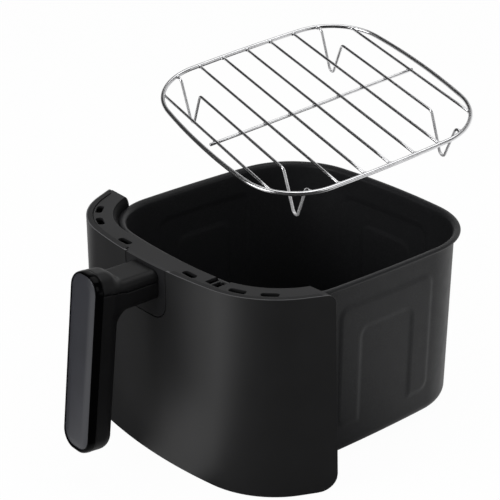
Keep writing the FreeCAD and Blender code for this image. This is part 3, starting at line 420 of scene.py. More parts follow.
def panelSheet(inset, lip, half, low, radius):
    # lower rows run right across, upper rows only beside the opening; lip is the inset above the trim's seat
    s = panelSizes
    middle = half * np.sin(np.radians(np.linspace(-90, 90, 33)))
    split = low + radius
    rise = openingLow(middle, half, low, radius) - s["bottom"]
    lower, upper = [], []
    for z in np.append(s["bottom"] + np.array(s["rises"]), split):
        row, first = panelRow(inset, panelEnd(z), middle)
        part = (z - s["bottom"]) / (split - s["bottom"])
        heights = np.full(len(row), z)
        heights[first:first + len(middle)] = s["bottom"] + part * rise
        lower.append(np.column_stack([row, heights]))
    for drop in (s["top"] - split, *s["drops"]):
        z = s["top"] - drop
        row, first = panelRow(inset if drop > s["seat"] else lip, panelEnd(z), middle)
        upper.append(np.column_stack([row, np.full(len(row), z)]))
    return lower, upper, first, first + len(middle) - 1


def buildPanel():
    s, b = panelSizes, baseSizes
    half, low, radius = b["half"] + b["gap"], b["low"] - b["gap"], b["round"] + b["gap"]
    points, faces, sheets = [], [], []
    for inset, lip in ((0.0, 0.0), (s["wall"], s["lip"])):
        lower, upper, first, last = panelSheet(inset, lip, half, low, radius)
        rows, upRows, columns = len(lower), len(upper), len(lower[0])
        left, right = range(first + 1), range(last, columns)
        index = {}
        for r, row in enumerate(lower):
            for c in range(columns):
                index["low", r, c] = len(points)
                points.append(row[c])
        for c in (*left, *right):
            index["up", 0, c] = index["low", rows - 1, c]
        for r in range(1, upRows):
            for c in (*left, *right):
                index["up", r, c] = len(points)
                points.append(upper[r][c])
        spots = [("low", r, c) for r in range(rows - 1) for c in range(columns - 1)]
        spots += [("up", r, c) for r in range(upRows - 1) for c in (*left[:-1], *right[:-1])]
        quads = [[index[k, r + i, c + j] for i, j in ((0, 0), (0, 1), (1, 1), (1, 0))] for k, r, c in spots]
        faces += [q[::-1] for q in quads] if sheets else quads
        sheets.append(index)
    # border strip between the outer and the inner sheet
    loop = [("low", 0, c) for c in range(columns)]
    loop += [("low", r, columns - 1) for r in range(1, rows)]
    loop += [("up", r, columns - 1) for r in range(1, upRows)]
    loop += [("up", upRows - 1, c) for c in right[::-1][1:]]
    loop += [("up", r, last) for r in range(upRows - 2, 0, -1)]
    loop += [("low", rows - 1, c) for c in range(last, first - 1, -1)]
    loop += [("up", r, first) for r in range(1, upRows)]
    loop += [("up", upRows - 1, c) for c in left[::-1][1:]]
    loop += [("up", r, 0) for r in range(upRows - 2, 0, -1)]
    loop += [("low", r, 0) for r in range(rows - 1, 0, -1)]
    outer, inner = sheets
    for here, there in zip(loop, loop[1:] + loop[:1]):
        faces.append([outer[there], outer[here], inner[here], inner[there]])
    panel = makePiece("frontPanel", points, faces, "drawer", "panel_plastic", skins["panelSkin"],
                      "front_panel", 38)
    # the level lip along the panel's top gets a paler skin, a painted highlight along the edge
    panel.data.materials.append(skins["lipSkin"])
    for polygon in panel.data.polygons:
        if polygon.center.z > (s["top"] - 0.02) * mm and polygon.center.y < s["lipEnd"] * mm:
            polygon.material_index = 1
    softenEdges(panel, s["edge"])


buildPanel()
print("panel made")


# handle base: plate let into the panel, a little below its face

def buildBase():
    s, b = panelSizes, baseSizes
    xs = b["half"] * np.sin(np.radians(np.linspace(-90, 90, 41)))
    lows = openingLow(xs, b["half"], b["low"], b["round"])
    parts = np.concatenate([np.linspace(0, 0.9, 14), [0.94, 0.97, 0.985, 1.0]])  # rows close up at the top
    points = []
    for inset in (b["recess"], s["wall"]):
        for t in parts:
            heights = lows + t * (s["top"] - b["drop"] - lows)
            points += list(np.column_stack([xs, faceY(xs, inset), heights]))
    rows, columns = len(parts), len(xs)
    behind = rows * columns
    faces = gridFaces(rows, columns) + gridFaces(rows, columns, start=behind, flip=True)
    loop = [(0, c) for c in range(columns)] + [(r, columns - 1) for r in range(1, rows)]
    loop += [(rows - 1, c) for c in range(columns - 2, -1, -1)] + [(r, 0) for r in range(rows - 2, 0, -1)]
    for (r1, c1), (r2, c2) in zip(loop, loop[1:] + loop[:1]):
        a, d = r1 * columns + c1, r2 * columns + c2
        faces.append([d, a, a + behind, d + behind])
    # the plate's skin is painted light, paler than the panel's plastic
    plate = makePiece("basePlate", points, faces, "drawer", "base_plastic", skins["baseSkin"],
                      "handle_base", 38)
    softenEdges(plate, b["edge"])


buildBase()
print("handle base made")


# top trim: crescent with slots and a notch, filled from flat outlines

trimSizes = {
    "outer": 2.5, "end": -79.5, "forward": 8.0, "low": 152.8, "thick": 2.5, "edge": 0.35,
    "slotLength": 13.4, "slotWidth": 5.4, "slotRound": 2.2, "slotInset": 9.6, "slotSide": 39.0,
    "slotTurns": (23.6, 45.3),
    "notchMiddle": 61.8, "notchWidth": 13.4, "notchFront": -132.0, "notchClear": 0.2,
    "tongue": 1.8, "hook": 2.2, "tongueEnd": -122.8,
    "skirtWide": 3.2, "skirtLow": 147.4, "skirtNotch": 150.4, "skirtDrop": 0.2, "skirtInset": 0.1,
    "skirtFall": 0.98, "skirtStart": 8.0, "skirtLap": 1.0,
    "ledge": 5.4, "ledgeStart": 0.9, "ledgeGap": 0.4, "ledgeEnd": -84.0, "ledgeLow": 153.0,
    "ledgeThick": 2.86, "ledgeEdge": 0.2, "tabHalf": 27.0, "tabSteps": 9,
    "rowSteps": (6, 60, 24),  # points along the end, the corner and the face
}


def slotSpots():
    # middle and turn of each slot
    t = trimSizes
    cx, cy = cornerCentre()
    away = panelSizes["corner"] - t["slotInset"]
    spots = [(t["slotSide"], float(faceY(t["slotSide"])) + t["slotInset"], 0.0)]
    for turn in map(math.radians, t["slotTurns"]):
        spots.append((cx + math.sin(turn) * away, cy - math.cos(turn) * away, turn))
    return [(side * x, y, side * turn) for x, y, turn in spots for side in (-1, 1)]


def roundedLoop(halfU, halfV, radius, steps=6):
    corners = ((halfU - radius, halfV - radius, 0), (radius - halfU, halfV - radius, 90),
               (radius - halfU, radius - halfV, 180), (halfU - radius, radius - halfV, 270))
    return np.array([(cx + radius * math.cos(a), cy + radius * math.sin(a))
                     for cx, cy, start in corners for a in np.radians(np.linspace(start, start + 90, steps))])


def trimEdge():
    # front part of the rim's outline, moved forward, as points and normals from the right end to the left
    t = trimSizes
    points, normals = rimLine(120, 60)
    points = points - (0, t["forward"])
    front = points[:, 1] < t["end"]
    points, normals = points[front], normals[front]
    # sorted by their turn about a point inside the rim
    order = np.argsort(np.arctan2(points[:, 0], t["end"] / 2 - points[:, 1]))[::-1]
    return points[order], normals[order]


def trimInner():
    # inner edge from the right end to the left, with the notch and its tongue cut in
    t = trimSizes
    edge, _ = trimEdge()
    edgeAt = lambda x: np.interp(x, edge[::-1, 0], edge[::-1, 1])
    left, right = t["notchMiddle"] - t["notchWidth"] / 2, t["notchMiddle"] + t["notchWidth"] / 2
    near, far = t["notchMiddle"] + t["tongue"] / 2, t["notchMiddle"] - t["tongue"] / 2
    front, tip, hook = t["notchFront"], t["tongueEnd"], near + t["hook"]
    notch = [(right, edgeAt(right)), (right, front), (near, front), (near, tip - t["tongue"])]
    notch += [(hook, tip - t["tongue"]), (hook, tip), (far, tip), (far, front)]
    notch += [(left, front), (left, edgeAt(left))]
    before = edge[edge[:, 0] > right + t["notchClear"]]
    after = edge[edge[:, 0] < left - t["notchClear"]]
    return [tuple(p) for p in (*before, *notch, *after)]


def trimOuter():
    # outer edge from left to right: behind the panel's ledge, further out at the ends and over the base
    t = trimSizes
    middle = np.linspace(-t["tabHalf"], t["tabHalf"], t["tabSteps"])
    rows = [panelRow(inset, t["end"], middle, *t["rowSteps"])[0] for inset in (t["outer"], t["ledge"])]
    line = []
    for near, back in zip(*rows):
        if abs(abs(near[0]) - t["tabHalf"]) < 0.01:
            line += [back, near] if near[0] < 0 else [near, back]
        else:
            line.append(near if abs(near[0]) < t["tabHalf"] or near[1] > t["ledgeEnd"] else back)
    return [tuple(p) for p in line]


def fillOutline(name, loops, low, thick, edge, slotName, material, node):
    # flat outlines with holes become a plate with rounded edges
    curve = bpy.data.curves.new(name + "Outline", "CURVE")
    curve.dimensions = "2D"
    curve.fill_mode = "BOTH"
    curve.extrude = (thick / 2 - edge) * mm
    curve.bevel_depth = edge * mm
    curve.bevel_resolution = 2
    curve.offset = -edge * mm
    for loop in loops:
        spline = curve.splines.new("POLY")
        spline.points.add(len(loop) - 1)
        for point, (x, y) in zip(spline.points, loop):
            point.co = (x * mm, y * mm, 0, 1)
        spline.use_cyclic_u = True
    holder = bpy.data.objects.new(name + "Outline", curve)
    scene.collection.objects.link(holder)
    bpy.context.view_layer.update()
    flat = bpy.data.meshes.new_from_object(holder.evaluated_get(bpy.context.evaluated_depsgraph_get()))
    points = np.array([v.co[:] for v in flat.vertices]) / mm + (0, 0, low + thick / 2)
    faces = [list(p.vertices) for p in flat.polygons]
    bpy.data.objects.remove(holder)
    bpy.data.curves.remove(curve)
    bpy.data.meshes.remove(flat)
    makePiece(name, points, faces, "drawer", slotName, material, node, 30)


def buildTrim():
    t = trimSizes
    loops = [trimOuter() + trimInner()]
    for x, y, turn in slotSpots():
        shape = roundedLoop(t["slotLength"] / 2, t["slotWidth"] / 2, t["slotRound"])
        turned = shape @ np.array([[math.cos(turn), math.sin(turn)], [-math.sin(turn), math.cos(turn)]])
        loops.append([tuple(p + (x, y)) for p in turned])
    fillOutline("topTrim", loops, t["low"], t["thick"], t["edge"],
                "trim_plastic", skins["trimSkin"], "top_trim")


def buildLedge():
    # darker ledge on the panel's top, on both sides of the handle's base
    t = trimSizes
    half = t["tabHalf"] + t["ledgeGap"]
    lines = [panelRow(inset, t["ledgeEnd"] - t["ledgeGap"], [-half, 0.0, half], *t["rowSteps"])[0]
             for inset in (t["ledgeStart"], t["ledge"] - t["ledgeGap"])]
    for name, side in (("panelLedgeLeft", -1), ("panelLedgeRight", 1)):
        near, back = ([tuple(p) for p in line if side * p[0] > half - 0.01] for line in lines)
        fillOutline(name, [near + back[::-1]], t["ledgeLow"], t["ledgeThick"], t["ledgeEdge"],
                    "panel_plastic", skins["ledgeSkin"], "front_panel")


def buildSkirt():
    # rounded wedge that falls from the trim's inner edge to just above the rim, lower at the notch; it is the
    # trim's plastic, made near black as painted shade
    t = trimSizes
    edge, normals = trimEdge()
    full = t["low"] + t["thick"] - t["skirtDrop"]
    side, reach = edge[:, 0] - t["notchMiddle"], t["notchWidth"] / 2
    for name, kept, top in (("trimSkirtRight", side > reach, full), ("trimSkirtLeft", side < -reach, full),
                            ("trimSkirtNotch", abs(side) < reach + t["skirtLap"], t["skirtNotch"])):
        tall = top - t["skirtLow"]
        rows = [(t["skirtInset"], top)]
        rows += [(t["skirtWide"] * math.sin(a), t["skirtLow"] + tall * math.cos(a) * t["skirtFall"])
                 for a in np.radians(np.linspace(t["skirtStart"], 90, 8))]
        rows += [(t["skirtInset"], t["skirtLow"])]
        line, outward = edge[kept], normals[kept]
        count = len(line)
        points = np.concatenate([np.column_stack([line - outward * i, np.full(count, z)]) for i, z in rows])
        last = count * (len(rows) - 1)
        faces = gridFaces(len(rows), count)
        faces += [[last + c, last + c + 1, c + 1, c] for c in range(count - 1)]
        faces.append([r * count for r in range(len(rows))])
        faces.append([r * count + count - 1 for r in range(len(rows))][::-1])
        makePiece(name, points, faces, "drawer", "trim_plastic", skins["coverSkin"], "top_trim", 40)


buildTrim()
buildLedge()
buildSkirt()
print("trim made")


# handle: neck and grip blended as one form, then parted into a lower shell and an upper cover

handleSizes = {
    "rim": 147.0, "face": -200.3, "lean": 6.44, "half": 16.2, "foot": -126.5, "head": 15.2, "round": 13.2,
    "bezel": 7.2, "depth": 25.4, "backRound": 10.0,
    "neckHalf": 16.2, "neckTop": 6.0, "neckLow": -18.0, "neckRound": 6.5,
    "neckFront": -184.0, "neckBack": -143.9, "blend": 3.0,
    "hollow": 17.0, "hollowRise": (-14.0, -3.0), "hollowSides": (8.0, 15.5),
    "parting": -2.5, "partingStep": 1.0, "partingSlope": 7.2, "partingAt": -172.6, "gap": 0.22,
    # size of a sample, and the corners of the space that each piece is sampled in
    "cell": 0.75,
    "shellSpace": ((-19.5, -213.0, 15.5), (19.5, -141.0, 152.5)),
    "coverSpace": ((-19.5, -205.0, 141.5), (19.5, -141.0, 166.5)),
}
leanTurn = math.radians(handleSizes["lean"])
gripUp = np.array([0, math.sin(leanTurn), math.cos(leanTurn)])
gripOut = np.array([0, -math.cos(leanTurn), math.sin(leanTurn)])
gripOrigin = np.array([0, handleSizes["face"], handleSizes["rim"]])


def handleField(x, y, z):
    # signed distance to the whole handle, negative inside
    s = handleSizes
    up = (y - gripOrigin[1]) * gripUp[1] + (z - gripOrigin[2]) * gripUp[2]
    out = (y - gripOrigin[1]) * gripOut[1] + (z - gripOrigin[2]) * gripOut[2]
    middle, halfLong = (s["head"] + s["foot"]) / 2, (s["head"] - s["foot"]) / 2
    front = roundBox(x, up - middle, s["half"], halfLong, s["round"])
    back = -s["depth"] - out
    r = s["backRound"]
    a, b = front + r, back + r
    grip = np.minimum(np.maximum(a, b), 0) + np.hypot(np.maximum(a, 0), np.maximum(b, 0)) - r
    neckMiddle, neckTall = s["rim"] + (s["neckTop"] + s["neckLow"]) / 2, (s["neckTop"] - s["neckLow"]) / 2
    section = roundBox(x, z - neckMiddle, s["neckHalf"], neckTall, s["neckRound"])
    neck = np.maximum(section, np.maximum(s["neckFront"] - y, y - s["neckBack"]))
    # wide hollow under the neck, narrow valley on its sides and top
    under = (1 - ease(z - s["rim"], *s["hollowRise"])) * (1 - ease(np.abs(x), *s["hollowSides"]))
    soft = s["blend"] + (s["hollow"] - s["blend"]) * under
    mix = np.clip(0.5 + 0.5 * (neck - grip) / soft, 0, 1)
    joined = neck + (grip - neck) * mix - soft * mix * (1 - mix)
    return np.maximum(joined, out + s["bezel"])


def partingHeight(y):
    s = handleSizes
    ahead = np.maximum(s["partingAt"] - y, 0)
    slope = math.tan(math.radians(s["partingSlope"]))
    rise = np.minimum(ahead, s["partingStep"]) + np.maximum(ahead - s["partingStep"], 0) * slope
    return s["rim"] + s["parting"] + rise


def surfaceNet(field, low, cell):
    # quads through the zero level of a sampled field
    inside = field < 0
    shape = np.array(field.shape) - 1
    total = np.zeros((*shape, 3))
    hits = np.zeros(shape)
    offsets = [(i, j, k) for i in (0, 1) for j in (0, 1) for k in (0, 1)]
    view = lambda o: tuple(slice(o[d], o[d] + shape[d]) for d in range(3))
    for o in offsets:
        for axis in range(3):
            if o[axis]:
                continue
            far = list(o)
            far[axis] = 1
            a, b = field[view(o)], field[view(far)]
            crossed = (a < 0) != (b < 0)
            t = np.where(crossed, a / np.where(a == b, 1, a - b), 0)
            for d in range(3):
                total[..., d] += np.where(crossed, o[d] + (t if d == axis else 0), 0)
            hits += crossed
    active = hits > 0
    number = np.full(shape, -1)
    number[active] = np.arange(active.sum())
    cells = np.argwhere(active)
    points = (cells + total[active] / hits[active][:, None]) * cell + low
    faces = []
    for axis in range(3):
        u, v = (axis + 1) % 3, (axis + 2) % 3
        first = [slice(None)] * 3
        second = [slice(None)] * 3
        first[axis], second[axis] = slice(0, -1), slice(1, None)
        here, there = inside[tuple(first)], inside[tuple(second)]
        for spot in np.argwhere(here != there):
            if min(spot[u], spot[v]) < 1 or spot[u] >= shape[u] or spot[v] >= shape[v]:
                continue
            quad = []
            for du, dv in ((-1, -1), (0, -1), (0, 0), (-1, 0)):
                c = spot.copy()
                c[u] += du
                c[v] += dv
                quad.append(number[tuple(c)])
            faces.append(quad if here[tuple(spot)] else quad[::-1])
    return points, faces


def buildHandle():
    s = handleSizes
    for name, node, space, sign in (("handleShell", "handle_lower", "shellSpace", 1),
                                    ("handleCover", "handle_upper", "coverSpace", -1)):
        low, high = s[space]
        steps = [np.arange(a, b, s["cell"]) for a, b in zip(low, high)]
        x, y, z = np.meshgrid(*steps, indexing="ij")
        field = np.maximum(handleField(x, y, z), sign * (z - partingHeight(y)) + s["gap"])
        points, faces = surfaceNet(field, np.array(low), s["cell"])
        makePiece(name, points, faces, "drawer", "handle_plastic", skins["handleSkin"], node, 48)


buildHandle()
print("handle made")


# bezel and inlay on the grip's front

inlaySizes = {
    "half": 14.6, "top": 13.6, "foot": -123.2, "round": 11.7, "thick": 1.7,
    "edge": 7.5, "edgeRings": 13, "fall": 1.5,
    # the bezel's section: depth behind the face, and the way from the grip's outline (0) to the inlay's (1)
    "bezel": ((-7.2, 0.0), (-6.9, -0.06), (-6.4, -0.06), (-5.0, -0.04), (-3.6, 0.02), (-2.8, 0.08),
              (-2.1, 0.16), (-1.6, 0.25), (-1.2, 0.36), (-0.9, 0.5), (-0.75, 0.64), (-0.7, 0.78),
              (-0.8, 0.88), (-1.5, 0.94)),
}


def gripRing(half, top, foot, radius, out, steps=28):
    # rounded outline on the grip's front, out from its face
    loop = roundedLoop(half, (top - foot) / 2, radius, steps)
    ring = gripOrigin + np.outer(loop[:, 1] + (top + foot) / 2, gripUp) + out * gripOut
    ring[:, 0] += loop[:, 0]
    return ring


def buildInlay():
    h, s = handleSizes, inlaySizes
    ends = [(h["half"], s["half"]), (h["head"], s["top"]), (h["foot"], s["foot"]), (h["round"], s["round"])]
    rings = [gripRing(*[a + (b - a) * part for a, b in ends], out) for out, part in s["bezel"]]
    makePiece("inlayBezel", *ringStack(rings), "drawer", "bezel_gloss", skins["bezelGloss"],
              "inlay_bezel", 50)
    rings = [gripRing(s["half"], s["top"], s["foot"], s["round"], -s["thick"])]
    for part in np.linspace(0, 1, s["edgeRings"]):
        inset = s["edge"] * part
        rings.append(gripRing(s["half"] - inset, s["top"] - inset, s["foot"] + inset, s["round"] - inset,
                              -s["fall"] * (1 - part) ** 2))
    makePiece("inlayFace", *ringStack(rings), "drawer", "inlay", skins["inlaySkin"], "inlay_face", 50)


buildInlay()
print("inlay made")


# rack: ring, straight bars, two bars with feet, a brace below, all turned to the rack's pose

rackSizes = {
    "gap": 6.0, "ringWire": 3.4, "barWire": 2.2, "braceWire": 2.4, "pitch": 22.2, "overrun": 4.0,
    "outerBar": 4, "legBar": 3,  # counted from the middle bar
    "bite": 0.5, "ringBead": (3.6, 3.0), "ringBeadBack": 0.2, "braceBead": (3.2, 2.6),
    "legDepth": 38.0, "legEnd": 6.4, "slantOut": 14.5, "slantIn": 15.0, "legBend": 4.0, "footBend": 3.5,
    "sheenBelow": -1.5, "dome": (0.5, 0.8, 0.98), "domeLong": 0.4,
    "middle": (12.8, 11.9, 245.8), "yaw": -8.3, "pitchTurn": 10.6, "roll": 9.04,
}


def turnAbout(axis, degrees):
    # turn about x (0), y (1) or z (2)
    t = math.radians(degrees)
    a, b = (axis + 1) % 3, (axis + 2) % 3
    turn = np.eye(3)
    turn[a, a] = turn[b, b] = math.cos(t)
    turn[a, b], turn[b, a] = -math.sin(t), math.sin(t)
    return turn


def posed(points):
    s = rackSizes
    turn = turnAbout(2, s["yaw"]) @ turnAbout(1, s["pitchTurn"]) @ turnAbout(0, s["roll"])
    return np.asarray(points) @ turn.T + s["middle"]


def tube(points, radius, closed=False, sides=14):
    # round wire along points, with domed ends
    s = rackSizes
    path = np.asarray(points, float)
    count = len(path)
    ahead = np.roll(path, -1, 0) - np.roll(path, 1, 0)
    if not closed:
        ahead[0], ahead[-1] = path[1] - path[0], path[-1] - path[-2]
    ahead /= np.linalg.norm(ahead, axis=1)[:, None]
    side = np.cross(ahead[0], (0.0, 0.0, 1.0) if abs(ahead[0][2]) < 0.9 else (1.0, 0.0, 0.0))
    turns = np.linspace(0, 2 * math.pi, sides, endpoint=False)
    rings = []

    def ring(centre, scale, forward):
        up = np.cross(side, forward)
        return [centre + radius * scale * (math.cos(t) * side + math.sin(t) * up) for t in turns]

    def dome(centre, part, forward):
        return ring(centre + forward * radius * s["domeLong"] * part, math.sqrt(1 - part * part), forward)

    for i in range(count):
        side = side - ahead[i] * (side @ ahead[i])
        side /= np.linalg.norm(side)
        if i == 0 and not closed:
            rings += [dome(path[0], -f, ahead[0]) for f in s["dome"][::-1]]
        rings.append(ring(path[i], 1.0, ahead[i]))
        if i == count - 1 and not closed:
            rings += [dome(path[i], f, ahead[i]) for f in s["dome"]]
    flat = np.concatenate(rings)
    faces = gridFaces(len(rings), sides, wrap=True, flip=True)
    last = (len(rings) - 1) * sides
    if closed:
        faces += [[last + c, c, (c + 1) % sides, last + (c + 1) % sides][::-1] for c in range(sides)]
    else:
        faces += [list(range(sides)), [last + c for c in range(sides)][::-1]]
    return flat, faces


def joinParts(parts):
    points, faces, start = [], [], 0
    for p, f in parts:
        points.append(p)
        faces += [[i + start for i in face] for face in f]
        start += len(p)
    return np.concatenate(points), faces


def weldBead(centre, along, long, wide):
    # small flattened bead where two wires meet
    centre = np.asarray(centre, float)
    along = np.asarray(along, float) / np.linalg.norm(along)
    path = centre + np.outer(np.linspace(-long / 2, long / 2, 9), along)
    points, faces = tube(path, wide / 2, sides=10)
    offset = (points - centre) @ along
    reach = long / 2 + wide / 2 * rackSizes["domeLong"]
    shrink = np.sqrt(np.clip(1 - (offset / reach) ** 2, 0.05, 1))
    spine = centre + np.outer(offset, along)
    return spine + (points - spine) * shrink[:, None], faces


def bentLine(points, radii, steps=8):
    # straight runs with round bends at the inner points
    points = np.asarray(points, float)
    path = [points[0]]
    for before, here, after, radius in zip(points, points[1:], points[2:], radii):
        a = (before - here) / np.linalg.norm(before - here)
        b = (after - here) / np.linalg.norm(after - here)
        half = math.acos(np.clip(a @ b, -1, 1)) / 2
        reach = radius / math.tan(half)
        centre = here + (a + b) / np.linalg.norm(a + b) * radius / math.sin(half)
        start, stop = here + a * reach - centre, here + b * reach - centre
        sweep = math.acos(np.clip(start @ stop / radius ** 2, -1, 1))
        for f in np.linspace(0, 1, steps):
            away = math.sin((1 - f) * sweep) * start + math.sin(f * sweep) * stop
            path.append(centre + away / math.sin(sweep))
    path.append(points[-1])
    return np.array(path)


def buildRack():
    s, p = rackSizes, panSizes
    # the ring follows the pan's inside at the floor
    inset = p["flange"] + p["depth"] * math.tan(math.radians(p["draft"])) + p["wall"]
    inset += s["gap"] + s["ringWire"] / 2
    points, normals = rimLine(40, 26)
    ring = np.column_stack([points - normals * inset, np.zeros(len(points))])
    right = ring[ring[:, 0] > 0]
    right = right[np.argsort(right[:, 1])]
    reach = lambda y: np.interp(y, right[:, 1], right[:, 0])

    def addWire(name, parts, node):
        flat, faces = joinParts(parts)
        wire = makePiece(name, posed(flat), faces, "rack", "wire", skins["wireSkin"], node, 60)
        # below this depth the legs get a half-metallic plating that renders paler than the bars: a painted
        # reflection of the lamps
        if node.startswith("rack_leg"):
            wire.data.materials.append(skins["footSkin"])
            for polygon in wire.data.polygons:
                polygon.material_index = int(flat[list(polygon.vertices), 2].mean() < s["sheenBelow"])

    addWire("rackRing", [tube(ring, s["ringWire"] / 2, closed=True, sides=20)], "rack_ring")
    bar, most = s["barWire"] / 2, s["outerBar"]
    for step in range(-most, most + 1):
        y = step * s["pitch"]
        end = reach(y) - s["ringWire"] / 2 + s["bite"]
        slope = (reach(y + 1) - reach(y - 1)) / 2
        beads = [weldBead((side * (end - s["ringBeadBack"]), y, 0), (side * slope, 1, 0), *s["ringBead"])
                 for side in (-1, 1)]
        beads.append(weldBead((0, y, -bar), (1, 0, 0), *s["braceBead"]))
        if abs(step) == s["legBar"]:
            outer = reach(y) - s["legEnd"]
            foot = outer - s["slantOut"]
            half = [(end, y, 0), (outer, y, 0), (foot, y, -s["legDepth"]), (foot - s["slantIn"], y, 0)]
            route = [(-x, b, c) for x, b, c in half] + half[::-1]
            bends = [s["legBend"], s["footBend"], s["legBend"]]
            path = bentLine(route, bends + bends[::-1])
            place = "Front" if step < 0 else "Rear"
            addWire("rackLeg" + place, [tube(path, bar)] + beads, "rack_leg_" + place.lower())
        else:
            path = [(x, y, 0) for x in np.linspace(-end, end, 12)]
            number = step + most + 1
            addWire(f"rackBar{number}", [tube(path, bar)] + beads, f"rack_bar_{number}")
    length = most * s["pitch"] + s["overrun"]
    drop = (s["barWire"] + s["braceWire"]) / 2
    path = [(0, y, -drop) for y in np.linspace(-length, length, 14)]
    addWire("rackBrace", [tube(path, s["braceWire"] / 2)], "rack_brace")


buildRack()
print("rack made")


# parts that keep their own shape get a finish

keptParts = {
    # the inner cover wears the near-black skin: its own black plastic with painted shade
    "inner_cover": "coverSkin", "pan_bracket": "steelSkin", "bracket_rivets": "steelSkin",
    "panel_screws": "steelSkin", "handle_screws": "steelSkin",
}
for node, skinName in keptParts.items():
    nodes[node].data.materials.clear()
    nodes[node].data.materials.append(skins[skinName])
print("kept parts finished:", len(keptParts))


# floor, light and camera

studio = {
    "floorHeight": -6.3, "floorSize": 9.0, "paper": (0.9, 0.9, 0.9), "paperRough": 0.9, "paperGlow": 0.97,
    # the white sweep stands behind the object and fades towards the near side and the ceiling
    "worldLevel": 0.4, "roomLevel": 0.04, "near": (0.25, -0.968, 0.8),
    "sweepEnd": (-0.9, 0.2), "floorEnd": (-0.08, 0.1),
    # fan of light: its tip, turn, the slants and distances over which it fades, and its level at the tip
    "fanAt": (0.051, -0.057, 0.0), "fanTurn": 14.0, "fanEnds": (0.12, 0.52),
    "fanNear": (0.05, 0.4), "fanStart": 0.45,
    # name, place, aim, size and power of each lamp
    "lamps": (
        ("frontLamp", (-0.25, -1.75, 0.85), (0.0, -0.05, 0.08), (1.2, 0.8), 15.0),
        ("topLamp", (0.0, 0.3, 1.9), (0.0, 0.0, 0.1), (1.5, 1.5), 13.5),
        ("rightLamp", (1.9, 0.25, 1.1), (0.0, 0.0, 0.1), (1.0, 1.0), 4.5),
    ),
}
photoView = {
    "azimuth": 49.2185, "elevation": 24.3209, "distance": 1213.98, "focal": 1506.05,
    "target": (-27.751, -18.129, 117.721), "sensor": 36.0, "pixels": 500.0,
}


def addMath(tree, operation, first, second=0.0):
    node = tree.nodes.new("ShaderNodeMath")
    node.operation = operation
    for socket, value in zip(node.inputs, (first, second)):
        if isinstance(value, float):
            socket.default_value = value
        else:
            tree.links.new(value, socket)
    return node.outputs[0]


def sweepLevel(tree, place, ends):
    # white for the camera, fading to the dim room in reflections of the near side
    path = tree.nodes.new("ShaderNodeLightPath")
    coords = tree.nodes.new("ShaderNodeTexCoord")
    dot = tree.nodes.new("ShaderNodeVectorMath")
    dot.operation = "DOT_PRODUCT"
    dot.inputs[1].default_value = studio["near"]
    tree.links.new(coords.outputs[place], dot.inputs[0])
    fade = addFade(tree, dot.outputs["Value"], ends, (1.0, studio["roomLevel"]), "SMOOTHSTEP")
    seen = addMath(tree, "MAXIMUM", path.outputs["Is Camera Ray"], path.outputs["Is Transmission Ray"])
    mirrored = addMath(tree, "MULTIPLY", path.outputs["Is Glossy Ray"], fade)
    shown = addMath(tree, "MAXIMUM", seen, path.outputs["Is Glossy Ray"])
    return addMath(tree, "MAXIMUM", seen, mirrored), shown


def addFan(tree):
    # soft fan of light on the floor in front of the object, mirrored by the panel as an upright band
    s = studio
    coords = tree.nodes.new("ShaderNodeTexCoord")
    away = tree.nodes.new("ShaderNodeVectorMath")
    away.operation = "SUBTRACT"
    away.inputs[1].default_value = s["fanAt"]
    tree.links.new(coords.outputs["Object"], away.inputs[0])
    turned = tree.nodes.new("ShaderNodeMapping")
    turned.inputs["Rotation"].default_value = (0.0, 0.0, math.radians(s["fanTurn"]))
    tree.links.new(away.outputs["Vector"], turned.inputs["Vector"])
    parts = tree.nodes.new("ShaderNodeSeparateXYZ")
    tree.links.new(turned.outputs["Vector"], parts.inputs["Vector"])
    ahead = addMath(tree, "MAXIMUM", addMath(tree, "MULTIPLY", parts.outputs["Y"], -1.0), 0.01)
    slant = addMath(tree, "ABSOLUTE", addMath(tree, "DIVIDE", parts.outputs["X"], ahead))
    fan = addFade(tree, slant, s["fanEnds"], (1.0, 0.0), "SMOOTHSTEP")
    rise = addFade(tree, ahead, s["fanNear"], (s["fanStart"], 1.0))  # weaker close to the panel
    return addMath(tree, "MULTIPLY", fan, rise)


def buildWorld():
    s = studio
    world = bpy.data.worlds.new("studioWorld")
    scene.world = world
    world.use_nodes = True
    tree = world.node_tree
    sky = tree.nodes["Background"]
    sky.inputs["Color"].default_value = (1, 1, 1, 1)
    white, shown = sweepLevel(tree, "Generated", s["sweepEnd"])
    soft = addMath(tree, "MULTIPLY", addMath(tree, "SUBTRACT", 1.0, shown), s["worldLevel"])
    tree.links.new(addMath(tree, "ADD", white, soft), sky.inputs["Strength"])


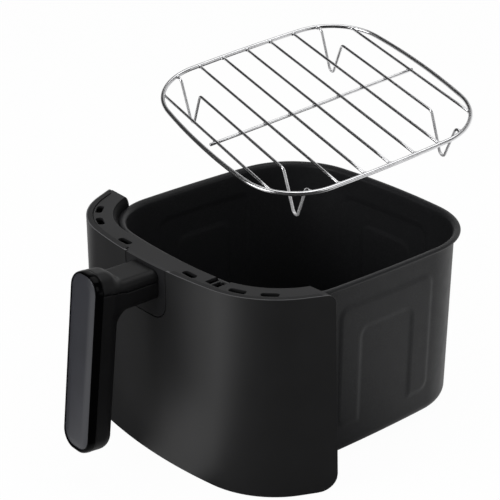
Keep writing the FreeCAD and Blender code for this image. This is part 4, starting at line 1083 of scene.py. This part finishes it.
def buildFloor():
    s = studio
    half = s["floorSize"] / 2
    mesh = bpy.data.meshes.new("studioFloor")
    corners = [(-half, -half, 0), (half, -half, 0), (half, half, 0), (-half, half, 0)]
    mesh.from_pydata(corners, [], [(0, 1, 2, 3)])
    floor = bpy.data.objects.new("studioFloor", mesh)
    floor.location.z = s["floorHeight"] * mm
    scene.collection.objects.link(floor)
    material, tree, shader = startMaterial("floorPaper")
    shader.inputs["Base Color"].default_value = (*s["paper"], 1)
    shader.inputs["Roughness"].default_value = s["paperRough"]
    glow = tree.nodes.new("ShaderNodeEmission")
    mix = tree.nodes.new("ShaderNodeMixShader")
    white, shown = sweepLevel(tree, "Object", s["floorEnd"])
    tree.links.new(addMath(tree, "MAXIMUM", white, addFan(tree)), glow.inputs["Strength"])
    tree.links.new(addMath(tree, "MULTIPLY", shown, s["paperGlow"]), mix.inputs["Fac"])
    tree.links.new(shader.outputs[0], mix.inputs[1])
    tree.links.new(glow.outputs[0], mix.inputs[2])
    tree.links.new(mix.outputs[0], tree.nodes["Material Output"].inputs["Surface"])
    mesh.materials.append(material)


def addLamps():
    for name, place, aim, size, power in studio["lamps"]:
        data = bpy.data.lights.new(name, "AREA")
        data.shape = "RECTANGLE"
        data.size, data.size_y = size
        data.energy = power
        lamp = bpy.data.objects.new(name, data)
        lamp.location = place
        lamp.rotation_euler = (Vector(aim) - Vector(place)).to_track_quat("-Z", "Y").to_euler()
        scene.collection.objects.link(lamp)


def addCamera():
    v = photoView
    a, e = math.radians(v["azimuth"]), math.radians(v["elevation"])
    back = Vector((math.sin(a) * math.cos(e), -math.cos(a) * math.cos(e), math.sin(e)))
    data = bpy.data.cameras.new("photoCamera")
    data.sensor_width = v["sensor"]
    data.lens = v["focal"] * v["sensor"] / v["pixels"]
    camera = bpy.data.objects.new("photoCamera", data)
    camera.location = (Vector(v["target"]) + back * v["distance"]) * mm
    camera.rotation_mode = "QUATERNION"
    camera.rotation_quaternion = (-back).to_track_quat("-Z", "Y")
    scene.collection.objects.link(camera)
    scene.camera = camera


buildWorld()
buildFloor()
addLamps()
addCamera()
scene.view_settings.view_transform = "Standard"
print("studio made")
